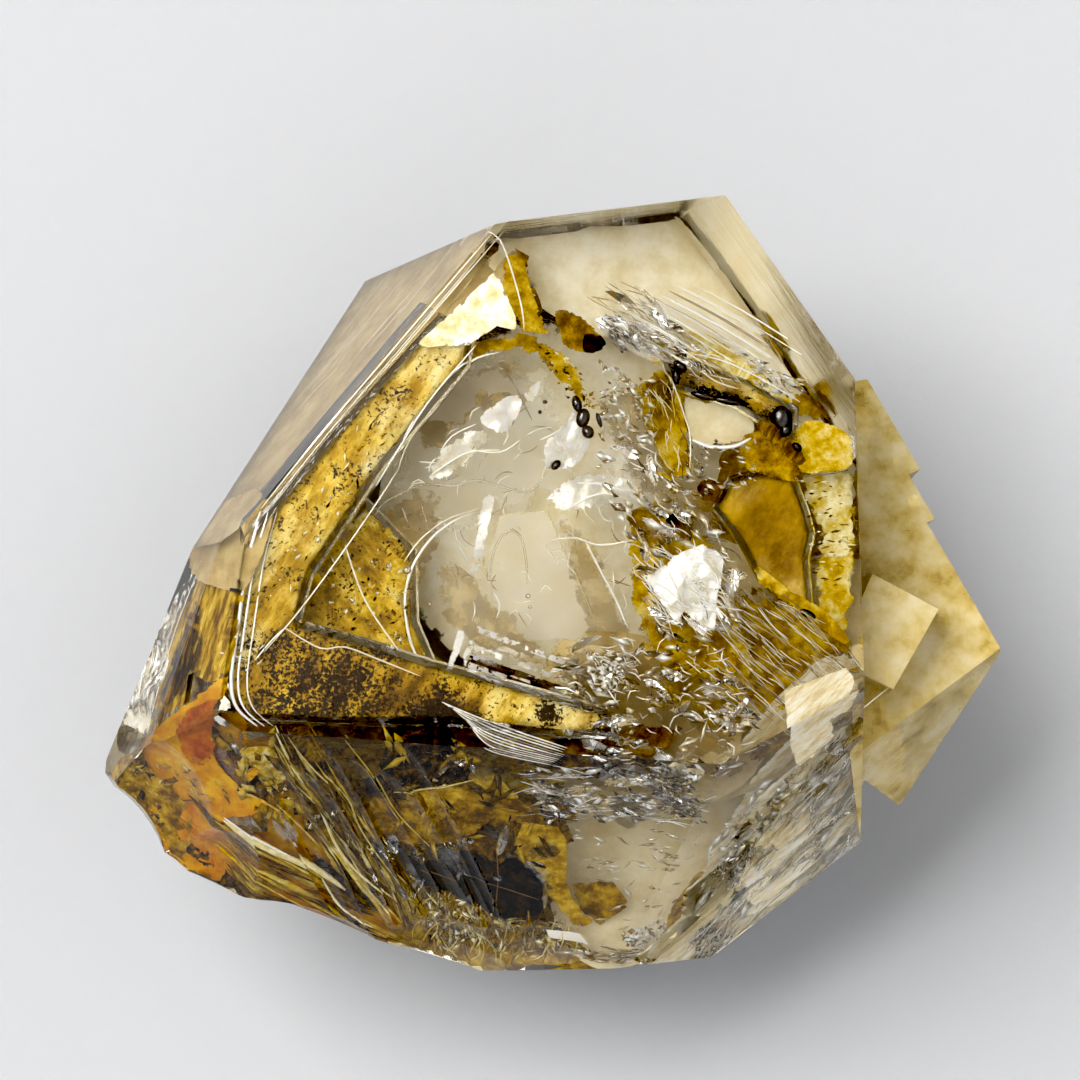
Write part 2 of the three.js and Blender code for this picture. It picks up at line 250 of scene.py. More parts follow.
def fill_outline(outline, spacing, rounded):
    """Points and triangles that fill an outline, and each point's distance from its edge."""
    edge = fine_line(outline, spacing, closed=True) if rounded else straight_line(outline, spacing)
    rows = np.array(edge)
    low = rows.min(0)
    high = rows.max(0)
    grid = []
    y = low[1]
    odd = False
    while y < high[1]:
        x = low[0] + (spacing / 2 if odd else 0)
        while x < high[0]:
            grid.append((x, y))
            x += spacing
        y += spacing * GRID_ROW
        odd = not odd
    if grid:
        distance, inside = edge_distance(grid, rows)
        grid = [g for g, d, i in zip(grid, distance, inside) if i and d > EDGE_ROOM * spacing]
    points = [Vector(p) for p in edge] + [Vector(g) for g in grid]
    places, _, faces, _, _, _ = delaunay_2d_cdt(points, [], [list(range(len(edge)))], INSIDE_ONLY,
                                                SAME_PLACE)
    distance, _ = edge_distance([tuple(p) for p in places], rows)
    return places, faces, distance


def crumple_at(px, py, size, seed):
    """Uneven to a depth of about 1, in lumps `size` pixels across."""
    return noise.fractal(Vector((px / size, py / size, seed * LUMPS_APART)), *LUMPS)


class Shape:
    """A surface or a body being made: its points and faces, and for each point how far it is from the
    rim, its tone and how much it covers."""

    def __init__(self):
        self.points = []
        self.faces = []
        self.rim = []
        self.tone = []
        self.cover = []

    def add(self, points, faces, rim=None, tone=0.5, cover=1.0):
        start = len(self.points)
        self.points += points
        self.faces += [tuple(start + i for i in face) for face in faces]
        self.rim += [1.0] * len(points) if rim is None else list(rim)
        self.tone += [tone] * len(points)
        self.cover += [cover] * len(points)


def sheet_shape(shape, window, outline, depth, slope=(0, 0), crumple=0.0, size=40, rounded=True,
                spacing=9, rim=14, seed=1, tone=0.5, cover=1.0):
    """A thin sheet: depth in mm at its middle, slope in mm for each 100 pixels right and down."""
    places, faces, distance = fill_outline(outline, spacing, rounded)
    centre = sum((Vector(p) for p in outline), Vector((0, 0))) / len(outline)
    points = []
    for p in places:
        away = p - centre
        deep = depth + (away.x * slope[0] + away.y * slope[1]) / 100
        if crumple:
            deep += crumple * crumple_at(p.x, p.y, size, seed)
        points.append(window.point(p.x, p.y, max(deep, LEAST_DEPTH)))
    faces = [face for face in faces if buried([points[k] for k in face])]
    shape.add(points, faces, np.clip(distance / rim, 0, 1), tone, cover)


def tube_shape(shape, path, radii, sides=8, tone=0.5):
    """A closed round tube along points in space."""
    points = []
    faces = []
    count = len(path)
    side = Vector((1, 0, 0))
    for i, centre in enumerate(path):
        along = (path[min(i + 1, count - 1)] - path[max(i - 1, 0)]).normalized()
        side = (side - along * side.dot(along)).normalized()
        over = along.cross(side)
        for k in range(sides):
            turn = 2 * math.pi * k / sides
            points.append(centre + (side * math.cos(turn) + over * math.sin(turn)) * radii[i])
    for i in range(count - 1):
        for k in range(sides):
            j = (k + 1) % sides
            faces.append((i * sides + k, i * sides + j, (i + 1) * sides + j, (i + 1) * sides + k))
    points.append(path[0] - (path[1] - path[0]).normalized() * radii[0] * BLUNT)
    points.append(path[-1] + (path[-1] - path[-2]).normalized() * radii[-1] * BLUNT)
    last = (count - 1) * sides
    for k in range(sides):
        j = (k + 1) % sides
        faces.append((j, k, count * sides))
        faces.append((last + k, last + j, count * sides + 1))
    shape.add(points, faces, tone=tone)


def thread_shape(shape, window, pixels, depth, width, spacing=6, sides=8, tone=0.5):
    """A tapered tube seen as a line through pixels; depth and width in mm."""
    line = fine_line(pixels, spacing)
    last = max(len(line) - 1, 1)
    path = [window.point(p.x, p.y, depth) for p in line]
    ends = [min(1, TIP_WIDTH + TAPER * min(i, last - i) / last) for i in range(len(line))]
    tube_shape(shape, path, [width / 2 * MM * e for e in ends], sides, tone)


def bead_shape(shape, centre, radii, turn=0.0, tone=0.5, rings=10, sides=14):
    """An ellipsoid; radii in mm, turned about the vertical."""
    points = [centre + Vector((0, 0, radii[2] * MM))]
    for r in range(1, rings):
        tilt = math.pi * r / rings
        for k in range(sides):
            a = 2 * math.pi * k / sides
            x = radii[0] * math.sin(tilt) * math.cos(a)
            y = radii[1] * math.sin(tilt) * math.sin(a)
            points.append(centre + Vector((x * math.cos(turn) - y * math.sin(turn),
                                           x * math.sin(turn) + y * math.cos(turn),
                                           radii[2] * math.cos(tilt))) * MM)
    points.append(centre - Vector((0, 0, radii[2] * MM)))
    faces = []
    for k in range(sides):
        j = (k + 1) % sides
        faces.append((0, 1 + k, 1 + j))
        faces.append((len(points) - 1, 1 + (rings - 2) * sides + j, 1 + (rings - 2) * sides + k))
        for r in range(rings - 2):
            faces.append((1 + r * sides + k, 1 + (r + 1) * sides + k,
                          1 + (r + 1) * sides + j, 1 + r * sides + j))
    shape.add(points, faces, tone=tone)


def pointing(angle):
    """The direction at an angle in degrees clockwise from rightward, as seen in the picture."""
    return Vector((math.cos(math.radians(angle)), math.sin(math.radians(angle))))


def strewn(outline, count, heading, spread, seed):
    """Random places inside an outline, the same ones each time, and for each its random directions."""
    rng = random.Random(seed)
    across = [p[0] for p in outline]
    down = [p[1] for p in outline]
    found = []
    while len(found) < count:
        tries = [(rng.uniform(min(across), max(across)), rng.uniform(min(down), max(down)))
                 for _ in range(count)]
        inside = edge_distance(tries, outline)[1]
        found += [Vector(place) for place, kept in zip(tries, inside) if kept]
    for centre in found[:count]:
        along = pointing(rng.gauss(heading, spread))
        yield rng, centre, along, Vector((-along.y, along.x))


def lens_faces(sides):
    """The faces from a ring of points to one point on each side of it."""
    faces = []
    for i in range(sides):
        j = (i + 1) % sides
        faces += [(i, j, sides), (j, i, sides + 1)]
    return faces


DEPTHS = (0.6, 1.5)                   # how much the depths of chips and cracks vary
CHIP_LENGTHS = (0.35, 1.2)
CHIP_WIDTHS = (0.4, 1.4)
CHIP_LEANS = (-0.2, 0.2)              # how much deeper one end lies than the middle, in mm
CHIP_SKEWS = (-0.5, 0.5)              # how far a side corner lies along the chip, in half lengths
TONES_OFF = (-0.05, 0.05)


def strew_chips(shape, window, outline, count, depth, length, width, heading, spread, tones, seed):
    """Splinters, each a flat closed blade with a ridge on both sides; length and width in pixels."""
    for rng, centre, along, across in strewn(outline, count, heading, spread, seed):
        long = length * rng.uniform(*CHIP_LENGTHS) / 2
        wide = width * rng.uniform(*CHIP_WIDTHS) / 2
        deep = depth * rng.uniform(*DEPTHS)
        lean = rng.uniform(*CHIP_LEANS)
        thick = 0.02 + 0.008 * width
        if not enclosed(window.sighted(centre.x, centre.y, deep)):
            continue
        corners = [(-along * long, -lean), (across * wide + along * long * rng.uniform(*CHIP_SKEWS), 0),
                   (along * long, lean), (-across * wide + along * long * rng.uniform(*CHIP_SKEWS), 0)]
        points = [window.point(centre.x + c.x, centre.y + c.y, deep + d) for c, d in corners]
        points += [window.point(centre.x, centre.y, deep + side * thick) for side in (-1, 1)]
        tone = rng.choice(tones) + rng.uniform(*TONES_OFF)
        shape.add(points, lens_faces(len(corners)), tone=min(max(tone, 0), 1))


LINE_LENGTHS = (0.4, 1.2)
CRACK_WIDTHS = (0.2, 0.6)             # of its length
CRACK_CURLS = (-0.3, 0.3)
CRACK_EDGES = (0.7, 1.2)


def strew_cracks(shape, window, outline, count, depth, length, heading, spread, seed):
    """Thin open cracks, each a curved gap like a lens; the length is in pixels."""
    for rng, centre, along, across in strewn(outline, count, heading, spread, seed):
        long = length * rng.uniform(*LINE_LENGTHS) / 2
        wide = long * rng.uniform(*CRACK_WIDTHS)
        deep = depth * rng.uniform(*DEPTHS)
        rise = rng.uniform(-CRACK_LEAN, CRACK_LEAN)
        roll = rng.uniform(-CRACK_LEAN, CRACK_LEAN)
        curl = rng.uniform(*CRACK_CURLS) * CRACK_LEAN
        if not enclosed(window.sighted(centre.x, centre.y, deep)):
            continue
        points = []
        for k in range(CRACK_SIDES):
            a = 2 * math.pi * k / CRACK_SIDES
            edge = rng.uniform(*CRACK_EDGES)
            place = centre + along * long * math.cos(a) + across * wide * math.sin(a) * edge
            lift = rise * math.cos(a) + roll * math.sin(a) + curl * math.cos(2 * a)
            points.append(window.point(place.x, place.y, deep + lift))
        points += [window.point(centre.x, centre.y, deep + side * CRACK_GAP) for side in (-1, 1)]
        shape.add(points, lens_faces(CRACK_SIDES))


LINE_DEPTHS = (0.7, 1.4)
LINE_WIDTHS = (0.6, 1.4)


def strew_lines(shape, window, outline, count, depth, length, width, heading, spread, bend, tones, seed):
    """Fine curved cracks; length and bend in pixels, width in mm."""
    for rng, centre, along, across in strewn(outline, count, heading, spread, seed):
        long = length * rng.uniform(*LINE_LENGTHS) / 2
        knots = [centre - along * long, centre + across * rng.uniform(-bend, bend), centre + along * long]
        if not enclosed(window.sighted(centre.x, centre.y, depth)):
            continue
        thread_shape(shape, window, knots, depth=depth * rng.uniform(*LINE_DEPTHS),
                     width=width * rng.uniform(*LINE_WIDTHS), spacing=5, sides=4, tone=rng.choice(tones))


def add_piece(name, shape, material):
    mesh = new_mesh(name, shape.points, shape.faces, smooth=True)
    for key, values in (("rim", shape.rim), ("tone", shape.tone), ("cover", shape.cover)):
        attribute = mesh.attributes.new(key, "FLOAT", "POINT")
        attribute.data.foreach_set("value", np.array(values, np.float32))
    mesh.materials.append(material)
    piece = add_object(name, mesh)
    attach(piece, "root")


def add_rows(make, shape, window, columns, rows, **shared):
    """Adds a surface for each row of a table. The columns name the row's values, and what is the same in
    all rows is given once. Where there is one column, a row is that value."""
    names = columns.split()
    for row in rows:
        values = row if len(names) > 1 else [row]
        make(shape, window, **dict(zip(names, values)), **shared)


def add_stains(name, finish, slot, window, columns, sheets, **shared):
    """A piece made of thin sheets, one for each row of the table."""
    shape = Shape()
    add_rows(sheet_shape, shape, window, columns, sheets, **shared)
    add_piece(name, shape, finish)


# ---- Materials ----

NOISE_SPAN = (0.3, 0.7)               # most of a noise's values lie between these
FILM_FADE = (0.35, 0.6)               # a ragged film goes from nothing to full between these


class Nodes:
    """A node tree with a short way to add and join its nodes."""

    def __init__(self, tree):
        self.nodes = tree.nodes
        self.links = tree.links

    def node(self, kind, settings=None, **sockets):
        """A new node; a socket's value is a number, a colour, or another node's output."""
        made = self.nodes.new("ShaderNode" + kind)
        for key, value in (settings or {}).items():
            setattr(made, key, value)
        for key, value in sockets.items():
            self.join(made, key.replace("_", " "), value)
        return made

    def join(self, node, key, value):
        """Sets a socket, which is named, or counted as in i0 and i1."""
        socket = node.inputs[int(key[1:])] if key[0] == "i" and key[1:].isdigit() else node.inputs[key]
        if isinstance(value, bpy.types.NodeSocket):
            self.links.new(value, socket)
        else:
            socket.default_value = value

    def noise(self, grain, detail=5, stretch=(1, 1, 1), turn=0.0, roughness=0.6):
        """Noise whose lumps are `grain` mm, drawn out along x, y, z by `stretch`."""
        place = self.node("TexCoord")
        mapping = self.node("Mapping", {"vector_type": "TEXTURE"}, Vector=place.outputs["Object"],
                            Rotation=(0, 0, math.radians(turn)), Scale=stretch)
        made = self.node("TexNoise", Vector=mapping.outputs["Vector"], Scale=1 / (grain * MM),
                         Detail=detail, Roughness=roughness)
        return made.outputs["Fac"]

    def ramp(self, fac, stops):
        """A colour ramp; each stop is (place, colour)."""
        made = self.node("ValToRGB", Fac=fac)
        elements = made.color_ramp.elements
        while len(elements) < len(stops):
            elements.new(0.5)
        for element, (place, colour) in zip(elements, stops):
            element.position = place
            element.color = (*colour, 1)
        return made.outputs["Color"]

    def between(self, fac, low, high, to_low=0.0, to_high=1.0):
        """A value that runs smoothly from `to_low` to `to_high` as `fac` runs from `low` to `high`."""
        made = self.node("MapRange", {"interpolation_type": "SMOOTHSTEP"}, Value=fac, From_Min=low,
                         From_Max=high, To_Min=to_low, To_Max=to_high)
        return made.outputs["Result"]

    def uneven(self, amount, *how):
        """Noise that goes from -amount to amount."""
        return self.between(self.noise(*how), *NOISE_SPAN, -amount, amount)

    def math(self, operation, *values):
        sockets = {"i%d" % i: value for i, value in enumerate(values)}
        return self.node("Math", {"operation": operation}, **sockets).outputs["Value"]

    def tint(self, fac, under, over):
        """One colour over another, as strongly as `fac` says."""
        made = self.node("Mix", {"data_type": "RGBA"}, i0=fac, i6=under, i7=over)
        return made.outputs[2]

    def bump(self, height, strength, depth):
        made = self.node("Bump", Height=height, Strength=strength, Distance=depth * MM)
        return made.outputs["Normal"]

    def mix(self, fac, first, second):
        return self.node("MixShader", i0=fac, i1=first, i2=second).outputs["Shader"]

    def attribute(self, name):
        return self.node("Attribute", {"attribute_name": name}).outputs["Fac"]


class Finish(Nodes):
    """A material being made."""

    def __init__(self, name):
        self.material = bpy.data.materials.new(name)
        self.material.use_nodes = True
        super().__init__(self.material.node_tree)
        self.nodes.clear()
        self.output = self.nodes.new("ShaderNodeOutputMaterial")

    def finish(self, surface):
        self.join(self.output, "Surface", surface)
        return self.material


def quartz_finish(name, grain, strength, depth, stretch=(1, 1, 1), roughness=0.0, sheen=0.5, clear=1.0,
                  clouds=None):
    """Clear, faintly smoky quartz; the grain is the unevenness of the face, in mm."""
    f = Finish(name)
    colour = f.ramp(f.noise(grain=2.2, detail=6), clouds) if clouds else (1, 1, 1, 1)
    shader = f.node("BsdfPrincipled", Base_Color=colour, Roughness=roughness,
                    IOR=QUARTZ_IOR, Transmission_Weight=clear, Specular_IOR_Level=sheen)
    f.join(shader, "Normal", f.bump(f.noise(grain, 4, stretch), strength, depth))
    absorption = f.node("VolumeAbsorption", Color=(*SMOKE, 1), Density=SMOKE_DENSITY)
    f.join(f.output, "Volume", absorption.outputs["Volume"])
    return f.finish(shader.outputs["BSDF"])


def toned_finish(name, tones, mottle=0.1, grain=1.2, stretch=(1, 1, 1), turn=0.0, thin=0.3, gloss=0.0,
                 bump=0.0, edge_grain=None, most=1.0):
    """What lies inside the quartz: a film, a crack or a chip, coloured by the tone of each part.

    Noise moves the tone by up to `mottle`. With `edge_grain`, the film is ragged at its rim, and has
    gaps where its cover is below 1. `most` is how much a full film hides."""
    f = Finish(name)
    tone = f.attribute("tone")
    if mottle:
        tone = f.math("ADD", tone, f.uneven(mottle, grain, 5, stretch, turn, 0.68))
    colour = f.ramp(tone, tones)
    diffuse = f.node("BsdfDiffuse", Color=colour)
    through = f.node("BsdfTranslucent", Color=colour)
    if bump:
        rough = f.bump(f.noise(grain * 0.3, 3, stretch, turn), strength=1.0, depth=bump)
        f.join(diffuse, "Normal", rough)
        f.join(through, "Normal", rough)
    surface = f.mix(thin, diffuse.outputs["BSDF"], through.outputs["BSDF"])
    if gloss:
        shine = f.node("BsdfGlossy", Color=(1, 1, 1, 1), Roughness=0.2)
        surface = f.mix(gloss, surface, shine.outputs["BSDF"])
    if edge_grain:
        ragged = f.between(f.noise(edge_grain, 4, stretch, turn, 0.65), *NOISE_SPAN, -1.0, -0.1)
        reach = f.math("ADD", f.math("ADD", f.attribute("rim"), f.attribute("cover")), ragged)
        clear = f.node("BsdfTransparent", Color=(1, 1, 1, 1))
        surface = f.mix(f.between(reach, *FILM_FADE, 0, most), clear.outputs["BSDF"], surface)
    return f.finish(surface)


def clay_finish(name, stops, grain, speck=None, roughness=0.75, sheen=0.3, through=0.0):
    """Packed clay, mottled, with specks of a darker mineral where its patches are."""
    f = Finish(name)
    colour = f.ramp(f.noise(grain, detail=6, roughness=0.68), stops)
    if speck:
        dots = f.between(f.noise(grain=0.12, detail=2, roughness=0.5), low=0.5, high=0.56)
        patches = f.between(f.noise(grain=3.0, detail=3), low=0.4, high=0.6)
        colour = f.tint(f.math("MULTIPLY", dots, patches), colour, (*speck, 1))
    normal = f.bump(f.noise(grain * 0.25), strength=1.0, depth=0.08)
    shader = f.node("BsdfPrincipled", Base_Color=colour, Roughness=roughness, Normal=normal,
                    Specular_IOR_Level=sheen)
    surface = shader.outputs["BSDF"]
    if through:
        glow = f.node("BsdfTranslucent", Color=colour)
        surface = f.mix(through, surface, glow.outputs["BSDF"])
    return f.finish(surface)


def zoned_clay_finish(name, speck, grain, mottle=0.14, stretch=(1, 1, 1), turn=0.0, specks_from=0.81):
    """Mottled clay that is dark-specked, warmer or paler where its attributes say so."""
    middle_tone = 0.49
    pale_lift = 0.4
    pale_mottle = 0.6
    blot_share = 0.45
    dark_push = 0.2
    speck_edge = 0.05
    f = Finish(name)
    uneven = f.uneven(mottle, grain, 7, stretch, turn, 0.7)
    pale = f.attribute("pale")
    lifted = f.math("ADD", uneven, f.math("MULTIPLY", pale, pale_lift))
    tone = f.math("SUBTRACT", f.math("ADD", lifted, middle_tone), f.attribute("warm"))
    paleness = f.between(f.math("ADD", pale, f.math("MULTIPLY", uneven, pale_mottle)), low=0.04, high=0.34)
    colour = f.tint(paleness, f.ramp(tone, IRON_TONES), (*PALE_CLAY, 1))
    dots = f.noise(grain=0.2, detail=3, roughness=0.75)
    blots = f.math("MULTIPLY_ADD", f.noise(grain=0.9, detail=4), blot_share, dots)
    level = f.math("MULTIPLY_ADD", f.attribute("dark"), dark_push, blots)
    colour = f.tint(f.between(level, specks_from, specks_from + speck_edge), colour, (*speck, 1))
    shader = f.node("BsdfPrincipled", Base_Color=colour, Roughness=0.7, Specular_IOR_Level=0.15,
                    Normal=f.bump(f.noise(grain=0.22), strength=1.0, depth=0.10))
    return f.finish(shader.outputs["BSDF"])


def paper_finish():
    f = Finish("paper")
    shader = f.node("BsdfPrincipled", Base_Color=(*PAPER, 1), Roughness=0.95, Specular_IOR_Level=0.1,
                    Normal=f.bump(f.noise(grain=1.1, detail=3), strength=0.35, depth=0.06))
    return f.finish(shader.outputs["BSDF"])


# ---- Finishes ----

IRON = toned_finish("iron_stain", IRON_TONES, mottle=0.16, grain=0.9, edge_grain=0.8, thin=0.15, bump=0.06)
IRON_STREAKS = toned_finish("iron_streaks", IRON_TONES, mottle=0.2, grain=0.45, stretch=(8, 1, 1), turn=62,
                            edge_grain=0.8, thin=0.15, bump=0.04)
CLOUD = toned_finish("cloudy_quartz", CLOUD_TONES, mottle=0.08, grain=2.6, edge_grain=2.0, thin=0.12)
SMOOTH_CLOUD = toned_finish("smooth_cloudy_quartz", CLOUD_TONES, mottle=0.08, grain=3, edge_grain=3.0,
                            thin=0.15)
SHADE = toned_finish("shade", CLOUD_TONES, mottle=0.16, grain=1.4, edge_grain=1.2, most=0.55)
HAZE = toned_finish("haze", CLOUD_TONES, mottle=0.05, grain=5, edge_grain=2.0, most=0.3)
AMBER_STAIN = toned_finish("amber_stain", AMBER_TONES, mottle=0.14, grain=1.3, edge_grain=1.0, thin=0.2,
                           bump=0.03)
BREAK = toned_finish("broken_quartz", BREAK_TONES, mottle=0.24, grain=0.3, stretch=(10, 1, 1), turn=50,
                     edge_grain=0.8, thin=0.1, bump=0.06)
BRIGHT = toned_finish("bright_crack", CLOUD_TONES, mottle=0.12, grain=0.5, edge_grain=0.5, thin=0.15,
                      gloss=0.3, bump=0.08)
CHIPS = toned_finish("chips", IRON_TONES, mottle=0.06, gloss=0.04, thin=0.2)
SPLINTERS = toned_finish("splinters", IRON_TONES, mottle=0.1, grain=0.6, thin=0.2)
CLEAR_CHIPS = toned_finish("clear_chips", CLOUD_TONES, mottle=0.0, gloss=0.25, thin=0.25)


# ---- Clay in the hollows: each body fills the same hollow as its solid ----

# Where the clay is dark, warm or pale: a spot's place and radius in pixels, and how much
RIM_DARK = [(272, 655, 26, 0.8), (300, 645, 24, 0.6), (300, 700, 46, 0.9), (342, 690, 44, 0.95),
            (258, 706, 26, 0.5), (372, 706, 14, 0.5), (442, 712, 24, 1.3), (412, 722, 18, 0.9),
            (470, 728, 16, 1.4), (350, 655, 12, 0.6), (386, 652, 14, 1.0), (548, 712, 12, 1.4),
            (606, 738, 16, 1.4), (395, 395, 12, 0.5), (345, 470, 10, 0.4)]
RIM_WARM = [(400, 690, 40, 0.16), (330, 690, 40, 0.12), (300, 690, 60, 0.04), (350, 675, 50, 0.04),
            (250, 705, 34, 0.03), (300, 675, 50, 0.08), (360, 685, 50, 0.1), (455, 715, 26, 0.24),
            (285, 590, 20, 0.04), (395, 395, 22, 0.05), (600, 738, 20, 0.16)]
RIM_PALE = [(465, 318, 40, 0.3), (430, 360, 36, 0.16), (400, 420, 36, 0.15), (350, 480, 40, 0.06),
            (250, 560, 34, 0.2), (300, 530, 36, 0.12), (240, 640, 26, 0.2), (380, 470, 24, 0.22),
            (345, 560, 18, 0.12), (560, 705, 40, 0.2), (500, 700, 30, 0.1), (300, 600, 24, 0.08)]
OXIDE_DARK = [(690, 392, 8, 1.2), (706, 396, 7, 1.3), (720, 400, 7, 1.3), (734, 404, 7, 1.2),
              (748, 410, 6, 0.9), (762, 417, 6, 0.8), (784, 421, 13, 1.6), (676, 370, 10, 0.8),
              (796, 446, 10, 1.2)]
OXIDE_WARM = [(690, 384, 14, 0.2), (730, 398, 12, 0.18), (766, 414, 12, 0.16)]
OXIDE_PALE = [(700, 374, 14, 0.12), (726, 380, 14, 0.16), (750, 389, 14, 0.16), (774, 402, 12, 0.14)]
LEAF_WARM = [(760, 500, 30, 0.14), (775, 545, 40, 0.18), (790, 575, 30, 0.06)]
LEAF_PALE = [(745, 490, 18, 0.1), (790, 590, 24, 0.12), (764, 575, 20, 0.08)]


SPOT_CORE = 1.25                      # a spot is at its full strength within a third of its radius
SPOT_FALL = 0.75                      # how much of it is lost over each radius


def zone_strength(points, zones, window, depth):
    """How strong a zone is at each point: the strongest of the spots that it is made of."""
    total = np.zeros(len(points))
    for px, py, radius, amount in zones:
        centre = np.array(window.point(px, py, depth)) / MM
        away = np.linalg.norm(points[:, :2] - centre[:2], axis=1) / (radius / PIXELS_PER_MM)
        total = np.maximum(total, amount * np.clip(SPOT_CORE - away * SPOT_FALL, 0, 1))
    return total


CLAY_LUMPS = (0.8, 2.2, 5)            # its noise, as in LUMPS
LIFT_RANGE = (-1.2, 0.8)              # how far a lump goes in and out, as parts of its roughness


def weathered(node, name, finish, zones, window, depth, voxel, rough, grain):
    """A body that fills the node's place, its surface broken up; zones are kept as attributes."""
    source = add_object(name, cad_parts[node].data.copy())
    remesh = source.modifiers.new("remesh", "REMESH")
    remesh.mode = "VOXEL"
    remesh.voxel_size = voxel * MM
    shaped = source.evaluated_get(bpy.context.evaluated_depsgraph_get())
    mesh = bpy.data.meshes.new_from_object(shaped)
    source.modifiers.clear()
    source.data = mesh
    normals = [vertex.normal.copy() for vertex in mesh.vertices]
    for vertex, normal in zip(mesh.vertices, normals):
        lift = noise.fractal(vertex.co / (grain * MM), *CLAY_LUMPS)
        vertex.co += normal * (min(max(lift, LIFT_RANGE[0]), LIFT_RANGE[1]) * rough * MM)
    places = np.array([vertex.co for vertex in mesh.vertices]) / MM
    for key, spots in zones.items():
        attribute = mesh.attributes.new(key, "FLOAT", "POINT")
        attribute.data.foreach_set("value", zone_strength(places, spots, window, depth).astype(np.float32))
    mesh.polygons.foreach_set("use_smooth", [True] * len(mesh.polygons))
    mesh.materials.clear()
    mesh.materials.append(finish)
    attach(source, "root")
    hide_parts(node)


def add_rim_clay():
    finish = zoned_clay_finish("rim_clay", rgb(34, 20, 8), grain=1.0, stretch=(2.6, 1, 1), turn=55)
    weathered("clay_rim_fill", "clay_rim", finish,
              {"dark": RIM_DARK, "warm": RIM_WARM, "pale": RIM_PALE},
              TOP, depth=1.2, voxel=0.16, rough=0.16, grain=0.9)


def add_amber_clay():
    oranges = [(0.3, rgb(236, 190, 60)), (0.46, rgb(214, 136, 8)), (0.6, rgb(170, 84, 4))]
    finish = clay_finish("amber_clay", oranges, grain=1.2, speck=RUST, through=0.4)
    weathered("amber_clay_fill", "amber_clay", finish, {},
              AMBER, depth=1.5, voxel=0.14, rough=0.12, grain=0.7)


def add_dark_earth():
    finish = clay_finish("dark_earth", [(0.4, BLACK), (0.6, DARK_BROWN)], grain=0.5, roughness=0.35,
                         sheen=0.2)
    weathered("dark_earth_fill", "dark_earth", finish, {},
              FRONT, depth=1.5, voxel=0.12, rough=0.08, grain=0.4)


def add_iron_oxide():
    finish = zoned_clay_finish("iron_oxide", BLACK, grain=0.7, mottle=0.12, stretch=(3, 1, 1), turn=-24)
    weathered("iron_oxide_bar", "iron_oxide", finish,
              {"dark": OXIDE_DARK, "warm": OXIDE_WARM, "pale": OXIDE_PALE},
              TOP, depth=3.2, voxel=0.12, rough=0.14, grain=0.5)


def add_floor_clay():
    finish = zoned_clay_finish("floor_clay", rgb(44, 26, 8), grain=1.4, mottle=0.2, stretch=(1.6, 1, 1),
                               turn=-50)
    weathered("clay_floor_fill", "clay_floor", finish, {},
              TOP, depth=4.2, voxel=0.14, rough=0.2, grain=1.0)


def add_leaf_clay():
    finish = zoned_clay_finish("leaf_clay", rgb(70, 36, 6), grain=1.6, mottle=0.08, stretch=(1.6, 1, 1),
                               turn=60, specks_from=1.0)
    weathered("amber_clay_leaf", "clay_leaf", finish, {"warm": LEAF_WARM, "pale": LEAF_PALE},
              TOP, depth=3.3, voxel=0.1, rough=0.06, grain=1.2)


# ---- Clouds deep in the crystal, which the rest is seen against ----

def add_left_clouds():
    add_stains("left_clouds", SMOOTH_CLOUD, "quartz", LEFT,
               "tone depth rim crumple size spacing seed outline", [
        (0.52, 3.0, 8, 0.3, 60, 10, 201, [(364, 262), (488, 226), (444, 292), (384, 362), (322, 436),
         (262, 510), (196, 566), (226, 492), (280, 402), (326, 330)]),
        (0.5, 0.9, 5, 0.2, 30, 7, 204, [(184, 566), (204, 526), (236, 494), (264, 492), (250, 540),
         (224, 580)]),
    ])
    # The pale streaks on the left face are painted reflections: white lines that stand in for the reflection
    # streaks along the edge.
    streaks = Shape()
    face = [(376, 272), (484, 236), (436, 292), (376, 362), (318, 430), (264, 496), (300, 410)]
    strew_lines(streaks, LEFT, face, count=18, depth=1.2, length=110, width=0.06, heading=-50, spread=2,
                bend=2, tones=(0.5, 0.65, 0.9), seed=202)
    add_piece("left_painted_reflection_streaks", streaks, CLEAR_CHIPS)


def add_deep_clouds():
    add_stains("clouds", CLOUD, "quartz", TOP, "tone depth slope rim crumple size spacing seed outline", [
        (0.79, 6.0, (0.2, -0.4), 30, 0.4, 120, 14, 1, [(470, 215), (740, 190), (870, 400), (862, 500),
         (770, 440), (700, 360), (560, 320)]),
        (0.82, 7.4, (0, 0), 30, 0.5, 120, 14, 3, [(400, 420), (480, 330), (640, 340), (740, 440), (740, 560),
         (690, 640), (660, 720), (540, 720), (440, 640), (380, 540)]),
        (0.66, 6.2, (0, 0), 24, 0.4, 90, 14, 5, [(690, 540), (780, 560), (870, 560), (870, 690), (760, 760),
         (660, 760), (640, 660)]),
        (0.76, 3.7, (0, 0), 5, 0.2, 30, 6, 18, [(684, 394), (704, 400), (745, 410), (754, 424), (748, 438),
         (712, 446), (692, 438)]),
        (0.6, 5.2, (0, 0), 20, 0.5, 60, 12, 6, [(560, 640), (660, 640), (740, 700), (720, 770), (600, 765),
         (540, 720)]),
    ])
    add_stains("front_clouds", CLOUD, "quartz", FRONT, "outline", [
        [(540, 770), (720, 760), (770, 800), (740, 900), (680, 975), (580, 960), (545, 880)],
    ], tone=0.7, depth=4.2, slope=(0.2, -3.2), rim=16, crumple=0.3, size=80, spacing=12, seed=7)


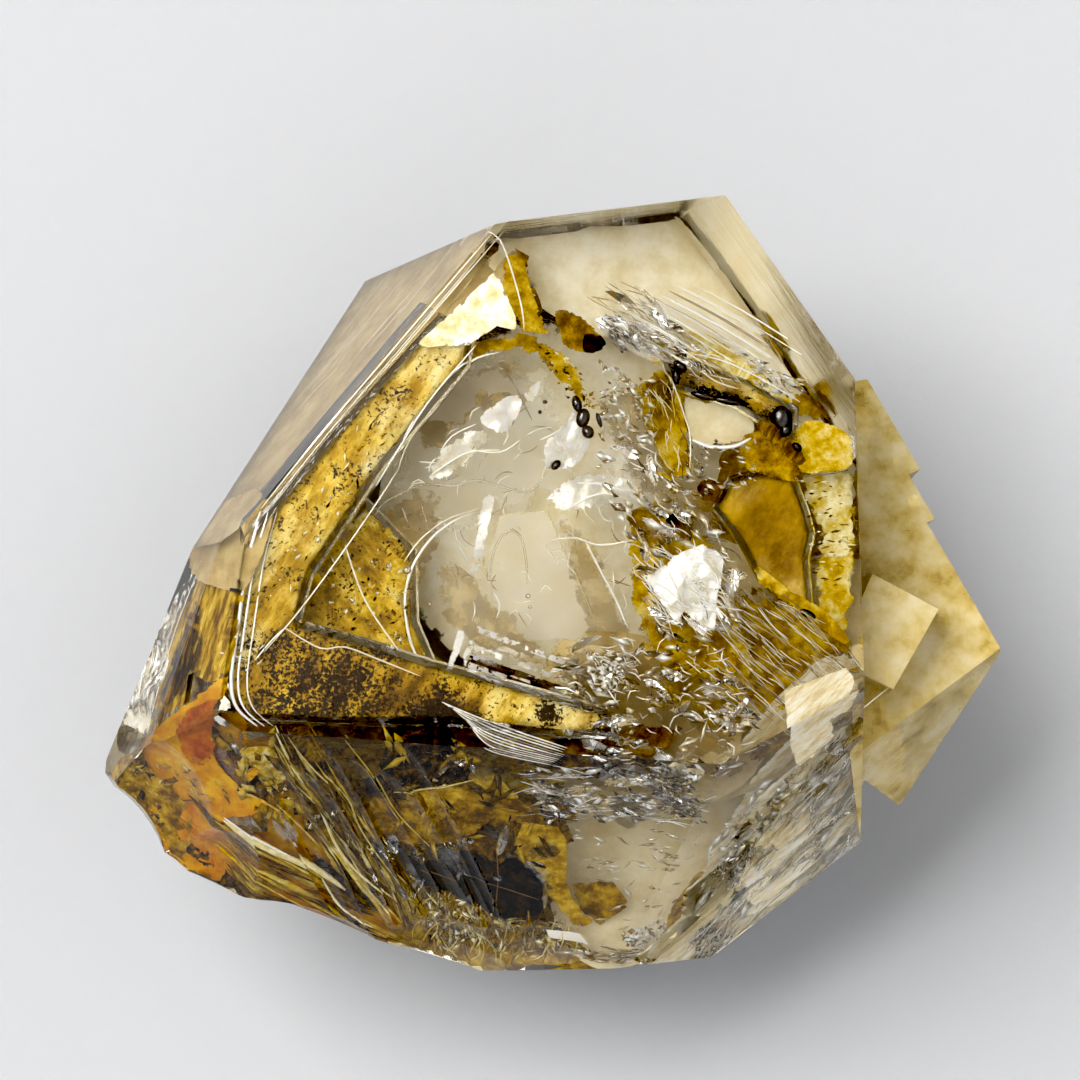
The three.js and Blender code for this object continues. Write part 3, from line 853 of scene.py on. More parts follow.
def add_golden_clouds():
    add_stains("golden_clouds", IRON, "ochre_clay", TOP, "tone cover depth rim crumple seed outline", [
        (0.54, 1, 6.6, 20, 0.7, 4, [(250, 600), (340, 500), (410, 560), (430, 650), (560, 730), (540, 765),
         (380, 755), (240, 730)]),
        (0.46, 0.8, 5.4, 30, 0.6, 10, [(720, 590), (800, 600), (850, 640), (856, 680), (800, 700),
         (740, 730), (716, 680)]),
        (0.58, 0.6, 6.0, 40, 0.6, 11, [(740, 330), (800, 320), (850, 370), (866, 440), (800, 430),
         (750, 400)]),
        (0.5, 0.9, 7.2, 24, 0.7, 8, [(640, 380), (760, 400), (868, 470), (866, 600), (780, 640), (720, 540),
         (650, 450)]),
    ], size=70, spacing=12)
    add_stains("front_golden_clouds", IRON, "ochre_clay", FRONT, "outline", [
        [(215, 745), (330, 748), (480, 755), (570, 830), (570, 960), (440, 960), (300, 900)],
    ], tone=0.38, depth=4.4, rim=16, crumple=0.6, size=70, spacing=12, seed=9)


# ---- The band along the ridge, and the planes at its upper end ----

def add_ridge_planes():
    add_stains("ridge_planes", IRON, "ochre_clay", TOP,
               "tone cover depth slope rim crumple size spacing rounded seed outline", [
        (0.88, 1, 0.45, (0.3, 0.3), 3, 0, 40, 7, False, 1, [(496, 270), (522, 332), (497, 326), (470, 345),
         (412, 348), (432, 330)]),
        (0.5, 1, 0.9, (0.8, 0.5), 4, 0.1, 40, 9, False, 1, [(512, 247), (524, 262), (535, 300), (550, 334),
         (522, 332), (500, 290), (503, 262)]),
        (0.32, 1, 1.4, (0.8, 0.5), 3, 0, 40, 5, False, 1, [(515, 248), (529, 256), (528, 272), (540, 300),
         (548, 330), (532, 300)]),
        (0.06, 1, 0.6, (0, 0), 2, 0, 40, 4, False, 1, [(488, 244), (500, 240), (499, 250), (484, 262)]),
        (0.5, 0.75, 2.4, (1, -0.5), 9, 0.3, 26, 6, True, 12, [(456, 352), (500, 334), (540, 338), (572, 362),
         (592, 402), (576, 400), (552, 372), (524, 352), (490, 354), (462, 372)]),
        (0.48, 0.8, 2.2, (1, 0.5), 8, 0.3, 26, 6, True, 13, [(398, 404), (412, 420), (380, 478), (330, 560),
         (296, 640), (282, 640), (310, 570), (356, 480)]),
        (0.56, 0.68, 4.2, (0, 0), 14, 0.5, 50, 9, True, 14, [(372, 520), (410, 548), (408, 620), (430, 660),
         (380, 652), (330, 642), (280, 650), (300, 600), (340, 545)]),
    ])


def add_ridge_lines():
    lines = Shape()
    for shift, depth, width in ((0, 0.35, 0.12), (9, 0.5, 0.06)):
        thread_shape(lines, TOP, [(494 + shift, 232), (440 + shift, 295), (380 + shift, 365),
                                  (320 + shift, 435), (262 + shift, 508)], depth, width, tone=0.8)
    for shift, depth, width in ((5, 0.4, 0.2), (12, 0.5, 0.12), (21, 0.7, 0.07)):
        thread_shape(lines, TOP, [(256 + shift, 512), (243 + shift, 560), (233 + shift, 625),
                                  (226 + shift, 680), (232 + shift, 708), (252 + shift, 726)],
                     depth, width, tone=0.98)
    add_rows(thread_shape, lines, TOP, "tone pixels", [
        (0.8, [(398, 470), (372, 510), (340, 556), (300, 610), (264, 652)]),
        (0.95, [(476, 345), (430, 400), (404, 440), (376, 486)]),
        (0.9, [(345, 545), (365, 600), (398, 650)]),
        (0.95, [(216, 652), (232, 655), (246, 660)]),
        (0.9, [(255, 660), (272, 640), (285, 628)]),
        (0.85, [(285, 628), (320, 648), (345, 647), (380, 660), (420, 676)]),
        (0.9, [(478, 232), (500, 240), (520, 300), (524, 330)]),
    ], depth=0.55, width=0.08)
    add_piece("ridge_lines", lines, CLEAR_CHIPS)


def add_ridge_marks():
    marks = Shape()
    add_rows(strew_chips, marks, TOP, "count depth length width heading spread seed tones outline", [
        (90, 0.7, 9, 2.4, -58, 20, 15, (0.15, 0.3, 0.45, 0.9, 1.0), [(360, 400), (400, 420), (300, 580),
         (250, 690), (236, 640), (270, 560)]),
        (60, 2.6, 8, 3, -50, 50, 16, (0.1, 0.3, 0.6, 0.9), [(330, 560), (400, 540), (425, 640), (330, 640)]),
        (60, 1.6, 7, 3, 40, 40, 17, (0.1, 0.35, 0.5, 0.85), [(530, 340), (575, 362), (600, 410), (575, 410),
         (545, 366)]),
    ])
    add_piece("ridge_marks", marks, CHIPS)


# ---- The clear chamber: hollows with their own walls ----

CRUMBLED_LOWER = [(560, 640), (640, 640), (720, 650), (760, 700), (740, 770), (640, 765), (560, 740)]
CRUMBLED_UPPER = [(590, 450), (640, 440), (700, 500), (740, 560), (740, 640), (650, 640), (640, 560),
                  (610, 500)]
STAR_FRINGE = [(640, 574), (676, 552), (704, 540), (732, 556), (728, 600), (720, 640), (690, 626),
               (660, 622)]
FAN_AREA = [(605, 300), (640, 290), (680, 330), (740, 380), (700, 380), (640, 350), (606, 335)]
BREAK_AREA = [(690, 960), (705, 900), (750, 810), (800, 770), (860, 730), (905, 770), (868, 838),
              (800, 892), (735, 955)]


def fluid_voids():
    """Open tubes and bubbles that a fluid left in the quartz."""
    voids = Shape()
    add_rows(thread_shape, voids, TOP, "pixels", [
        [(375, 515), (384, 503), (395, 497), (412, 488), (430, 484), (452, 486), (476, 480), (500, 486),
         (526, 492), (542, 480), (552, 462)],
        [(402, 507), (405, 516), (408, 524)],
        [(421, 504), (424, 514), (427, 523)],
        [(490, 580), (493, 555), (505, 532), (520, 536), (526, 560), (527, 584)],
        [(447, 575), (450, 562), (456, 574), (458, 590)],
    ], depth=0.62, width=0.1, spacing=5)
    for px, py, size in ((528, 596, 0.13), (530, 607, 0.09), (407, 570, 0.22), (388, 566, 0.12),
                         (400, 640, 0.12), (430, 604, 0.1), (372, 562, 0.1), (352, 600, 0.16)):
        bead_shape(voids, TOP.point(px, py, 0.62), (size, size, size * 0.7))
    return voids


def open_cracks():
    """Thin flat-sided cracks in the quartz."""
    cracks = Shape()
    add_rows(strew_cracks, cracks, TOP, "count depth length heading spread seed outline", [
        (60, 1.4, 32, 8, 34, 301, CRUMBLED_LOWER),
        (44, 1.6, 34, 38, 30, 302, CRUMBLED_UPPER),
        (16, 1.4, 46, 34, 14, 303, FAN_AREA),
    ])
    add_rows(strew_cracks, cracks, FRONT, "count depth length heading spread seed outline", [
        (50, 0.9, 30, 40, 40, 305, [(230, 750), (480, 750), (560, 860), (540, 900), (300, 880)]),
        (34, 0.8, 36, 6, 20, 306, [(520, 770), (690, 770), (700, 826), (560, 822)]),
    ])
    strew_cracks(cracks, BROKEN, BREAK_AREA, count=24, depth=0.7, length=60, heading=-50, spread=12,
                 seed=307)
    return cracks


def add_chamber_films():
    add_stains("chamber_folds", BRIGHT, "quartz", TOP,
               "tone cover depth slope rim crumple size spacing seed outline", [
        (1.0, 1, 1.0, (1.6, 1.2), 3, 0.35, 22, 5, 2, [(480, 418), (500, 400), (518, 395), (521, 408),
         (506, 432), (492, 430)]),
        (0.96, 1, 1.1, (2.4, 1.4), 3, 0.3, 20, 5, 3, [(545, 444), (560, 430), (577, 410), (590, 440),
         (575, 465), (548, 468)]),
        (0.9, 1, 1.2, (1.8, 1.0), 3, 0.2, 30, 5, 4, [(524, 395), (540, 381), (533, 402)]),
        (0.86, 0.8, 1.3, (1.6, 1.6), 6, 0.3, 24, 5, 6, [(440, 452), (470, 430), (492, 436), (462, 468),
         (440, 480), (428, 476)]),
        (0.92, 0.8, 3.4, (1.2, 1.4), 8, 0.5, 30, 6, 9, [(546, 500), (580, 474), (620, 478), (640, 500),
         (600, 506), (570, 512)]),
        (0.98, 1, 3.2, (1.2, 1.4), 4, 0.2, 40, 6, 11, [(483, 500), (494, 498), (486, 540), (478, 572),
         (470, 574), (476, 540)]),
    ])
    add_stains("chamber_shade", SHADE, "quartz", TOP, "tone cover depth rim seed outline", [
        (0.4, 0.8, 4.0, 20, 311, [(378, 520), (400, 490), (440, 496), (440, 540), (418, 590), (424, 640),
         (396, 620), (384, 570)]),
        (0.46, 0.7, 4.2, 20, 312, [(416, 420), (450, 380), (500, 352), (530, 372), (520, 410), (470, 420),
         (430, 460)]),
        (0.42, 0.8, 3.8, 16, 313, [(560, 520), (590, 540), (620, 600), (640, 650), (600, 660), (575, 600)]),
        (0.44, 0.7, 4.0, 16, 314, [(440, 560), (490, 590), (540, 640), (590, 660), (520, 664), (450, 630)]),
        (0.42, 0.8, 3.8, 14, 315, [(600, 400), (650, 400), (700, 460), (720, 520), (680, 530), (630, 470)]),
        (0.36, 0.8, 3.6, 14, 316, [(560, 650), (640, 650), (720, 690), (740, 740), (680, 766), (600, 760),
         (570, 700)]),
    ], crumple=0.4)
    add_stains("chamber_haze", HAZE, "quartz", TOP, "cover depth rim crumple size rounded seed outline", [
        (1, 4.4, 4, 0.15, 80, False, 1, [(500, 516), (548, 510), (562, 540), (590, 600), (600, 640),
         (500, 640), (486, 570)]),
        (0.8, 4.8, 40, 0.3, 50, True, 18, [(410, 380), (500, 350), (570, 400), (570, 490), (470, 530),
         (390, 520), (396, 450)]),
    ], tone=0.94, slope=(0.5, 1.5))


def add_chamber_arcs():
    arcs = Shape()
    add_rows(thread_shape, arcs, TOP, "depth width tone pixels", [
        (3.2, 0.14, 0.95, [(476, 512), (452, 522), (430, 540), (412, 568), (405, 600), (410, 640),
         (424, 670)]),
        (3.0, 0.08, 0.8, [(404, 562), (420, 540), (446, 520), (480, 508)]),
        (3.0, 0.12, 1.0, [(546, 500), (570, 484), (610, 486), (640, 500), (660, 520)]),
        (3.0, 0.1, 0.95, [(560, 512), (600, 494), (630, 500)]),
        (3.0, 0.12, 0.9, [(552, 540), (575, 538), (600, 545), (636, 540)]),
        (3.0, 0.12, 0.95, [(585, 540), (600, 570), (614, 596), (628, 628)]),
        (3.4, 0.06, 0.6, [(548, 512), (562, 545), (580, 585), (596, 625)]),
        (1.3, 0.07, 0.25, [(500, 366), (512, 380), (522, 400), (532, 420)]),
        (1.2, 0.12, 0.95, [(405, 440), (430, 400), (470, 362), (500, 352)]),
        (1.2, 0.07, 0.8, [(398, 470), (410, 440), (440, 404)]),
        (1.1, 0.07, 0.95, [(440, 452), (452, 436), (476, 424)]),
        (1.2, 0.08, 0.95, [(430, 476), (450, 462), (470, 452), (500, 450)]),
        (1.2, 0.07, 0.95, [(468, 450), (500, 452), (520, 440)]),
        (1.0, 0.08, 1.0, [(540, 440), (560, 430), (574, 416)]),
        (1.0, 0.05, 0.9, [(475, 300), (478, 305), (484, 306)]),
    ])
    add_rows(strew_lines, arcs, TOP, "count depth heading spread bend seed tones outline", [
        (40, 1.6, -42, 24, 5, 19, (0.9, 1.0, 0.3), [(400, 480), (480, 400), (560, 400), (560, 480),
         (470, 520)]),
        (50, 3.0, 60, 40, 7, 20, (0.9, 1.0, 0.4), [(440, 520), (560, 500), (640, 500), (640, 620),
         (470, 620)]),
    ], length=22, width=0.06)
    add_piece("chamber_arcs", arcs, CLEAR_CHIPS)


def add_chamber_drops():
    drops = Shape()
    for px, py, rx, ry, turn in ((577, 404, 5, 9, 0.3), (583, 418, 7, 10, -0.2), (588, 432, 6, 7, 0.5),
                                 (599, 420, 2.5, 8, 0.3), (556, 465, 6, 4, 0.8), (545, 402, 2.5, 2, 0),
                                 (540, 412, 2, 2, 0)):
        bead_shape(drops, TOP.point(px, py, 0.9), (rx / PIXELS_PER_MM, ry / PIXELS_PER_MM, 0.18), turn,
                   tone=0.07)
    add_piece("chamber_drops", drops, CHIPS)


# ---- Below the chamber: leaning lamellae, crumbled cracks and the white patch ----

FINE_LAMELLAE = 9                     # lines below the broad ones


def add_lamellae():
    shape = Shape()
    for i, tone in enumerate((1.0, 0.5, 0.9, 0.14, 0.95, 0.3, 0.85)):
        y = 626 + i * 9
        sheet_shape(shape, TOP, [(478 - 2 * i, y), (586, y + 42), (584, y + 47), (474 - 2 * i, y + 5)],
                    depth=1.4 + 0.2 * i, slope=(0.3, 4), rounded=False, spacing=5, rim=1, tone=tone)
    add_rows(sheet_shape, shape, TOP, "outline", [
        [(458, 630), (466, 632), (452, 672), (446, 671)],
        [(470, 640), (475, 641), (464, 668), (459, 667)],
    ], tone=1.0, depth=1.2, slope=(2, 0), rim=1, spacing=4, rounded=False)
    for i in range(FINE_LAMELLAE):
        thread_shape(shape, TOP,
                     [(442 + i * 3, 702 + i * 2), (490, 722 + i * 3), (567 - i * 2, 748 + i * 2)], depth=0.8,
                     width=0.07, tone=(1.0, 0.8, 0.95, 0.3)[i % 4])
    add_piece("lamellae", shape, BRIGHT)


def add_under_lamellae():
    add_stains("under_lamellae", IRON, "ochre_clay", TOP,
               "tone cover depth rim crumple spacing rounded seed outline", [
        (0.16, 1, 2.6, 5, 0.2, 6, False, 1, [(470, 655), (560, 684), (600, 704), (590, 712), (500, 690),
         (462, 674)]),
        (0.3, 1, 3.0, 6, 0.3, 6, True, 31, [(624, 730), (668, 726), (672, 744), (640, 758), (604, 752)]),
        (0.26, 0.7, 3.0, 8, 0.3, 6, True, 32, [(560, 725), (620, 745), (600, 768), (540, 758), (500, 744)]),
        (0.44, 0.8, 3.4, 8, 0.4, 6, True, 33, [(695, 634), (715, 644), (737, 656), (737, 675), (718, 675),
         (705, 660)]),
        (0.5, 0.5, 4.4, 14, 0.5, 9, True, 34, [(640, 500), (700, 520), (740, 600), (760, 680), (720, 740),
         (670, 700), (640, 640), (620, 560)]),
        (0.42, 1, 3.0, 6, 0, 6, True, 1, [(625, 515), (640, 509), (664, 522), (656, 534), (636, 528)]),
        (0.1, 1, 3.0, 4, 0, 4, True, 1, [(664, 512), (678, 514), (680, 526), (670, 530)]),
    ])


def add_star_patch():
    add_stains("star_patch", BRIGHT, "quartz", TOP, "outline", [
        [(703, 544), (724, 556), (721, 583), (717, 603), (715, 632), (691, 618), (684, 613), (678, 624),
         (666, 611), (650, 583), (643, 576), (652, 574), (670, 561), (674, 555)],
    ], tone=0.96, depth=0.9, slope=(1.2, 1.0), rim=2, crumple=0.3, size=26, spacing=4, rounded=False)


def add_crumbled_quartz():
    crumbs = Shape()
    tones = (0.2, 0.35, 0.5, 0.62, 0.75, 0.9, 1.0)
    strew_chips(crumbs, TOP, CRUMBLED_LOWER, count=90, depth=1.7, length=22, width=7, heading=8, spread=26,
                tones=tones, seed=37)
    strew_lines(crumbs, TOP, CRUMBLED_LOWER, count=120, depth=1.2, length=18, width=0.06, heading=10,
                spread=30, bend=5, tones=(0.15, 0.9, 1.0), seed=38)
    strew_chips(crumbs, TOP, CRUMBLED_UPPER, count=70, depth=2.0, length=22, width=7, heading=38, spread=24,
                tones=tones, seed=39)
    strew_lines(crumbs, TOP, CRUMBLED_UPPER, count=100, depth=1.4, length=20, width=0.06, heading=40,
                spread=22, bend=4, tones=(0.2, 0.9, 1.0), seed=40)
    strew_chips(crumbs, TOP, [(585, 655), (620, 650), (618, 690), (590, 690)], count=70, depth=1.0,
                length=12, width=4, heading=20, spread=40, tones=(0.9, 1.0), seed=43)
    strew_lines(crumbs, TOP, STAR_FRINGE, count=70, depth=0.8, length=30, width=0.06, heading=46, spread=16,
                bend=3, tones=(0.8, 0.95, 1.0), seed=44)
    add_piece("crumbled_quartz", crumbs, CLEAR_CHIPS)


# ---- Upper right: the fan, the oxide bar, the amber sheet ----

FAN_LINES = 30
FAN_START = (Vector((612, 330)), Vector((690, 286)))
FAN_HEADING = Vector((math.cos(0.52), math.sin(0.52)))


def add_fan():
    fan = Shape()
    for i in range(FAN_LINES):
        t = i / (FAN_LINES - 1)
        start = FAN_START[0].lerp(FAN_START[1], t) + Vector((14 * math.sin(i * 2.1), 0))
        reach = 60 + 55 * t + 22 * math.sin(i * 1.7)
        end = start + FAN_HEADING * reach
        middle = start.lerp(end, 0.5) + Vector((0, -2))
        thread_shape(fan, TOP, [start, middle, end], depth=1.8 + 0.6 * math.sin(i),
                     width=0.05 + 0.03 * (i % 3), tone=(1.0, 0.9, 0.5, 0.95)[i % 4])
    strew_lines(fan, TOP, FAN_AREA, count=90, depth=2.0, length=46, width=0.06, heading=32, spread=10,
                bend=4, tones=(0.4, 0.6, 0.85, 0.95, 1.0), seed=41)
    add_rows(strew_chips, fan, TOP, "count depth length width heading spread seed tones outline", [
        (60, 2.0, 16, 2.6, 42, 8, 42, (0.0, 0.08, 0.2, 1.0), [(600, 318), (625, 318), (640, 350),
         (620, 352)]),
        (70, 2.4, 15, 4, 30, 14, 44, (0.7, 0.95, 1.0, 0.3), [(740, 350), (780, 372), (812, 385), (790, 398),
         (752, 384)]),
        (130, 2.4, 12, 4, 30, 40, 45, (0.35, 0.55, 0.85, 1.0), [(600, 360), (650, 380), (655, 450),
         (600, 440)]),
        (90, 2.4, 10, 3, 30, 30, 46, (0.2, 0.5, 0.8, 1.0), [(690, 440), (760, 440), (760, 480), (700, 500),
         (680, 480)]),
    ])
    add_piece("fan", fan, CLEAR_CHIPS)


def add_upper_right_stains():
    add_stains("upper_right_stains", IRON, "ochre_clay", TOP,
               "tone cover depth rim crumple spacing seed outline", [
        (0.36, 1, 3.0, 5, 0.3, 6, 51, [(556, 310), (577, 314), (603, 338), (598, 350), (571, 351),
         (560, 336)]),
        (0.06, 1, 2.6, 4, 0.2, 5, 61, [(586, 332), (604, 338), (604, 350), (584, 352)]),
        (0.70, 1, 3.4, 6, 0.3, 7, 52, [(655, 340), (699, 332), (746, 358), (755, 371), (712, 362),
         (681, 352)]),
        (0.56, 1, 3.2, 5, 0.3, 6, 64, [(652, 342), (684, 342), (680, 356), (660, 366), (650, 360)]),
        (0.5, 0.85, 3.6, 6, 0.3, 6, 53, [(646, 376), (672, 372), (684, 410), (692, 470), (668, 476),
         (644, 420)]),
        (0.3, 0.8, 3.3, 5, 0.3, 6, 62, [(646, 378), (668, 384), (672, 404), (652, 400)]),
        (0.25, 1, 3.4, 4, 0, 6, 1, [(697, 487), (707, 479), (724, 485), (735, 496), (718, 502), (702, 500)]),
        (0.54, 0.7, 5.4, 14, 0.4, 9, 71, [(762, 306), (790, 300), (808, 322), (805, 348), (780, 352),
         (762, 336)]),
        (0.44, 0.75, 5.4, 14, 0.4, 9, 72, [(786, 396), (842, 384), (850, 400), (830, 420), (794, 414)]),
        (0.6, 1, 2.8, 6, 0.3, 6, 73, [(794, 430), (815, 420), (842, 430), (853, 446), (848, 468), (812, 474),
         (795, 466)]),
        (0.42, 0.8, 2.6, 8, 0.3, 9, 75, [(742, 434), (775, 436), (800, 462), (800, 480), (770, 478),
         (744, 466)]),
        (0.74, 0.7, 4.6, 8, 0, 9, 1, [(800, 477), (854, 471), (854, 554), (818, 554), (818, 530)]),
        (0.62, 0.65, 4.6, 10, 0.3, 9, 77, [(820, 550), (854, 540), (854, 610), (842, 640), (816, 604)]),
        (0.52, 1, 2.9, 5, 0.3, 6, 78, [(757, 566), (790, 590), (818, 606), (846, 632), (844, 644),
         (800, 612), (760, 584)]),
    ])


def add_oxide_marks():
    add_stains("oxide_crust", IRON_STREAKS, "iron_oxide", TOP,
               "tone depth rim crumple spacing seed outline", [
        (0.7, 2.2, 3, 0.1, 5, 93, [(684, 354), (720, 352), (760, 372), (792, 402), (776, 398), (744, 380),
         (704, 366)]),
        (0.34, 2.3, 4, 0.15, 6, 92, [(756, 420), (775, 425), (800, 450), (812, 468), (792, 462),
         (764, 436)]),
    ], cover=0.9, slope=(0.5, 1.8))
    lumps = Shape()
    for px, py, rx, ry, turn in ((782, 418, 10, 13, 0.2), (786, 430, 6, 8, -0.5), (797, 447, 6, 4, -0.7),
                                 (808, 614, 9, 4, -0.5), (704, 396, 14, 4, -0.25), (728, 401, 16, 4, -0.2),
                                 (680, 366, 8, 5, -0.6), (676, 376, 4, 9, 0.1)):
        bead_shape(lumps, TOP.point(px, py, 1.9), (rx / PIXELS_PER_MM, ry / PIXELS_PER_MM, 0.22), turn,
                   tone=0.03)
    add_rows(strew_chips, lumps, TOP, "count depth width heading spread seed tones outline", [
        (40, 1.9, 4, 20, 20, 94, (0.0, 0.05), [(690, 388), (700, 385), (750, 398), (745, 408)]),
        (60, 2.2, 2.4, -6, 10, 95, (0.25, 0.4, 0.85), [(800, 480), (852, 480), (852, 600), (815, 590)]),
    ], length=10)
    strew_lines(lumps, TOP, [(645, 385), (672, 376), (692, 470), (668, 476)], count=50, depth=2.4, length=22,
                width=0.06, heading=70, spread=16, bend=4, tones=(0.3, 0.65, 0.85), seed=96)
    add_piece("oxide_lumps", lumps, CHIPS)


def add_hair_striations():
    hairs = Shape()
    plane = [(720, 590), (756, 587), (815, 615), (846, 644), (854, 679), (795, 701), (740, 730), (716, 690)]
    strew_lines(hairs, TOP, plane, count=150, depth=2.0, length=44, width=0.045, heading=38, spread=7,
                bend=3, tones=(0.3, 0.55, 0.75, 0.9), seed=97)
    add_rows(thread_shape, hairs, TOP, "depth width tone pixels", [
        (1.8, 0.2, 1.0, [(692, 440), (712, 447), (735, 446), (751, 438)]),
        (1.8, 0.08, 0.8, [(671, 378), (682, 408), (690, 436), (690, 468)]),
        (1.6, 0.08, 1.0, [(680, 352), (720, 360), (760, 378), (800, 402)]),
        (1.8, 0.07, 0.12, [(806, 476), (830, 474), (848, 470)]),
    ])
    add_piece("hair_striations", hairs, CLEAR_CHIPS)


# ---- Lower left: the stepped edge, amber, ribs and the crumbled tip ----

STEPS = 9                             # lines that step down along the left edge


def add_stepped_edge():
    add_stains("left_streaks", IRON_STREAKS, "ochre_clay", LEDGE, "tone cover depth rim rounded outline", [
        (0.46, 1, 0.9, 4, False, [(207, 566), (240, 548), (226, 624), (216, 667), (197, 680), (178, 700),
         (152, 735), (158, 683), (178, 614)]),
        (0.2, 0.8, 0.7, 5, True, [(160, 690), (176, 640), (196, 600), (196, 640), (182, 680), (158, 728)]),
    ])
    add_stains("stepped_edge", BRIGHT, "quartz", LEDGE, "outline", [
        [(200, 560), (204, 566), (178, 614), (158, 683), (146, 736), (134, 731), (115, 718), (126, 678),
         (148, 648), (160, 620)],
    ], tone=0.84, cover=0.95, depth=0.6, rim=3, rounded=False)
    # The steps are partly painted light: the white step lines and the whitest chips are painted highlights
    # along the steps, while the darker lines are the steps' own brown colour.
    steps = Shape()
    for i in range(STEPS):
        step = [(196 - 6 * i, 575 + 8 * i), (172 - 4 * i, 640 + 6 * i), (150 - 2 * i, 720)]
        thread_shape(steps, LEDGE, step, depth=0.35, width=0.12, tone=(1.0, 0.3, 0.95, 0.6)[i % 4])
    strew_chips(steps, LEDGE, [(190, 575), (170, 630), (150, 710), (128, 712), (150, 650)], count=60,
                depth=0.4, length=22, width=4, heading=-66, spread=10, tones=(0.35, 0.6, 0.95, 1.0),
                seed=104)
    add_piece("step_edges_and_highlights", steps, CLEAR_CHIPS)


def add_amber_stains():
    add_stains("amber_body", AMBER_STAIN, "amber_clay", AMBER,
               "tone cover depth rim crumple spacing seed outline", [
        (0.5, 1, 0.8, 6, 0.25, 7, 111, [(154, 735), (178, 706), (205, 680), (222, 690), (214, 721),
         (216, 760), (250, 795), (264, 806), (240, 818), (200, 822), (160, 806), (132, 775), (142, 748)]),
        (0.24, 0.85, 0.6, 12, 0.15, 7, 112, [(178, 715), (208, 700), (216, 740), (206, 765), (184, 756)]),
        (0.2, 1, 0.9, 8, 0.2, 6, 114, [(196, 814), (216, 812), (228, 824), (210, 832)]),
    ])
    add_stains("amber_wedge", AMBER_STAIN, "amber_clay", FRONT, "tone depth rim seed outline", [
        (0.42, 1.6, 5, 113, [(122, 826), (197, 818), (235, 824), (304, 862), (398, 908), (414, 950),
         (396, 966), (325, 944), (207, 905), (150, 878)]),
        (0.5, 2.4, 8, 115, [(215, 735), (262, 735), (300, 800), (350, 880), (330, 890), (260, 840),
         (225, 800)]),
    ], crumple=0.3, spacing=7)
    add_stains("olive_tip", IRON, "ochre_clay", AMBER, "outline", [
        [(90, 752), (112, 716), (134, 732), (152, 776), (190, 818), (170, 872), (120, 848), (94, 790)],
    ], tone=0.42, depth=0.6, rim=4, crumple=0.25, size=16, spacing=6, seed=121)


def add_brown_planks():
    add_stains("brown_planks", IRON_STREAKS, "ochre_clay", FRONT, "tone depth outline", [
        (0.24, 1.2, [(283, 733), (320, 736), (362, 798), (336, 808), (312, 784)]),
        (0.12, 1.5, [(390, 735), (448, 738), (474, 780), (393, 794), (379, 766)]),
        (0.03, 1.3, [(360, 780), (379, 772), (391, 790), (366, 797)]),
        (0.14, 1.0, [(213, 728), (226, 740), (250, 765), (274, 801), (262, 800), (236, 764), (212, 742)]),
        (0.3, 1.8, [(330, 800), (362, 800), (400, 850), (410, 890), (370, 860)]),
        (0.62, 1.2, [(240, 748), (272, 745), (288, 780), (270, 792), (250, 770)]),
        (0.12, 1.4, [(300, 850), (340, 872), (390, 905), (380, 915), (320, 884)]),
        (0.16, 1.2, [(165, 858), (200, 868), (260, 898), (330, 926), (310, 926), (220, 898), (176, 874)]),
    ], rim=3, spacing=6, rounded=False)


def add_front_ribs():
    ribs = Shape()
    add_rows(thread_shape, ribs, FRONT, "width tone pixels", [
        (0.16, 0.78, [(275, 731), (288, 758), (304, 788), (320, 814), (336, 849), (358, 876), (398, 905)]),
        (0.06, 0.5, [(280, 731), (296, 765), (312, 796), (332, 836), (352, 862), (392, 894)]),
        (0.1, 0.7, [(288, 737), (301, 755), (318, 774), (347, 801), (358, 828), (379, 860), (406, 889)]),
        (0.14, 0.68, [(300, 800), (330, 850), (370, 895), (400, 925)]),
        (0.4, 0.8, [(224, 825), (267, 849), (304, 865), (346, 892)]),
        (0.16, 1.0, [(224, 822), (262, 842), (300, 862)]),
        (0.16, 0.9, [(320, 881), (342, 911), (380, 930)]),
        (0.1, 0.62, [(150, 838), (220, 862), (300, 905), (380, 936)]),
        (0.12, 0.66, [(240, 790), (280, 812), (320, 850)]),
        (0.1, 0.7, [(393, 794), (430, 790), (474, 780)]),
        (0.08, 0.62, [(345, 740), (372, 775), (396, 815), (430, 850)]),
    ], depth=0.7)
    add_rows(strew_chips, ribs, FRONT, "count length width heading spread seed tones outline", [
        (36, 26, 10, 48, 30, 133, (0.2, 0.3, 0.42, 0.54, 0.62), [(215, 740), (290, 740), (320, 830),
         (260, 830)]),
        (70, 80, 5, 56, 6, 134, (0.22, 0.34, 0.46, 0.58, 0.7), [(270, 740), (330, 760), (420, 890),
         (400, 930), (330, 870)]),
        (70, 90, 6, 25, 4, 135, (0.26, 0.36, 0.48, 0.6), [(150, 840), (230, 830), (400, 915), (398, 950),
         (250, 900)]),
        (60, 26, 6, 40, 50, 136, (0.16, 0.26, 0.36, 0.46, 0.54), [(385, 740), (470, 745), (560, 860),
         (500, 860), (400, 850)]),
    ], depth=0.9)
    add_piece("front_ribs", ribs, SPLINTERS)


def add_tip_flakes():
    tip = Shape()
    add_rows(strew_chips, tip, AMBER, "count depth length width heading spread seed tones outline", [
        (130, 0.4, 13, 6, 60, 60, 122, (0.1, 0.2, 0.3, 0.42, 0.55), [(106, 755), (130, 745), (175, 815),
         (158, 832), (128, 832), (108, 790)]),
        (8, 0.5, 12, 7, -30, 20, 123, (0.85, 1.0), [(182, 696), (200, 692), (202, 702), (184, 708)]),
        (40, 0.7, 16, 4, 40, 40, 124, (0.35, 0.5, 0.68), [(140, 770), (220, 760), (250, 800), (180, 815)]),
    ])
    add_piece("tip_flakes", tip, CHIPS)


# ---- Bottom: dark blocks, olive polygons, moss, clear tan ----

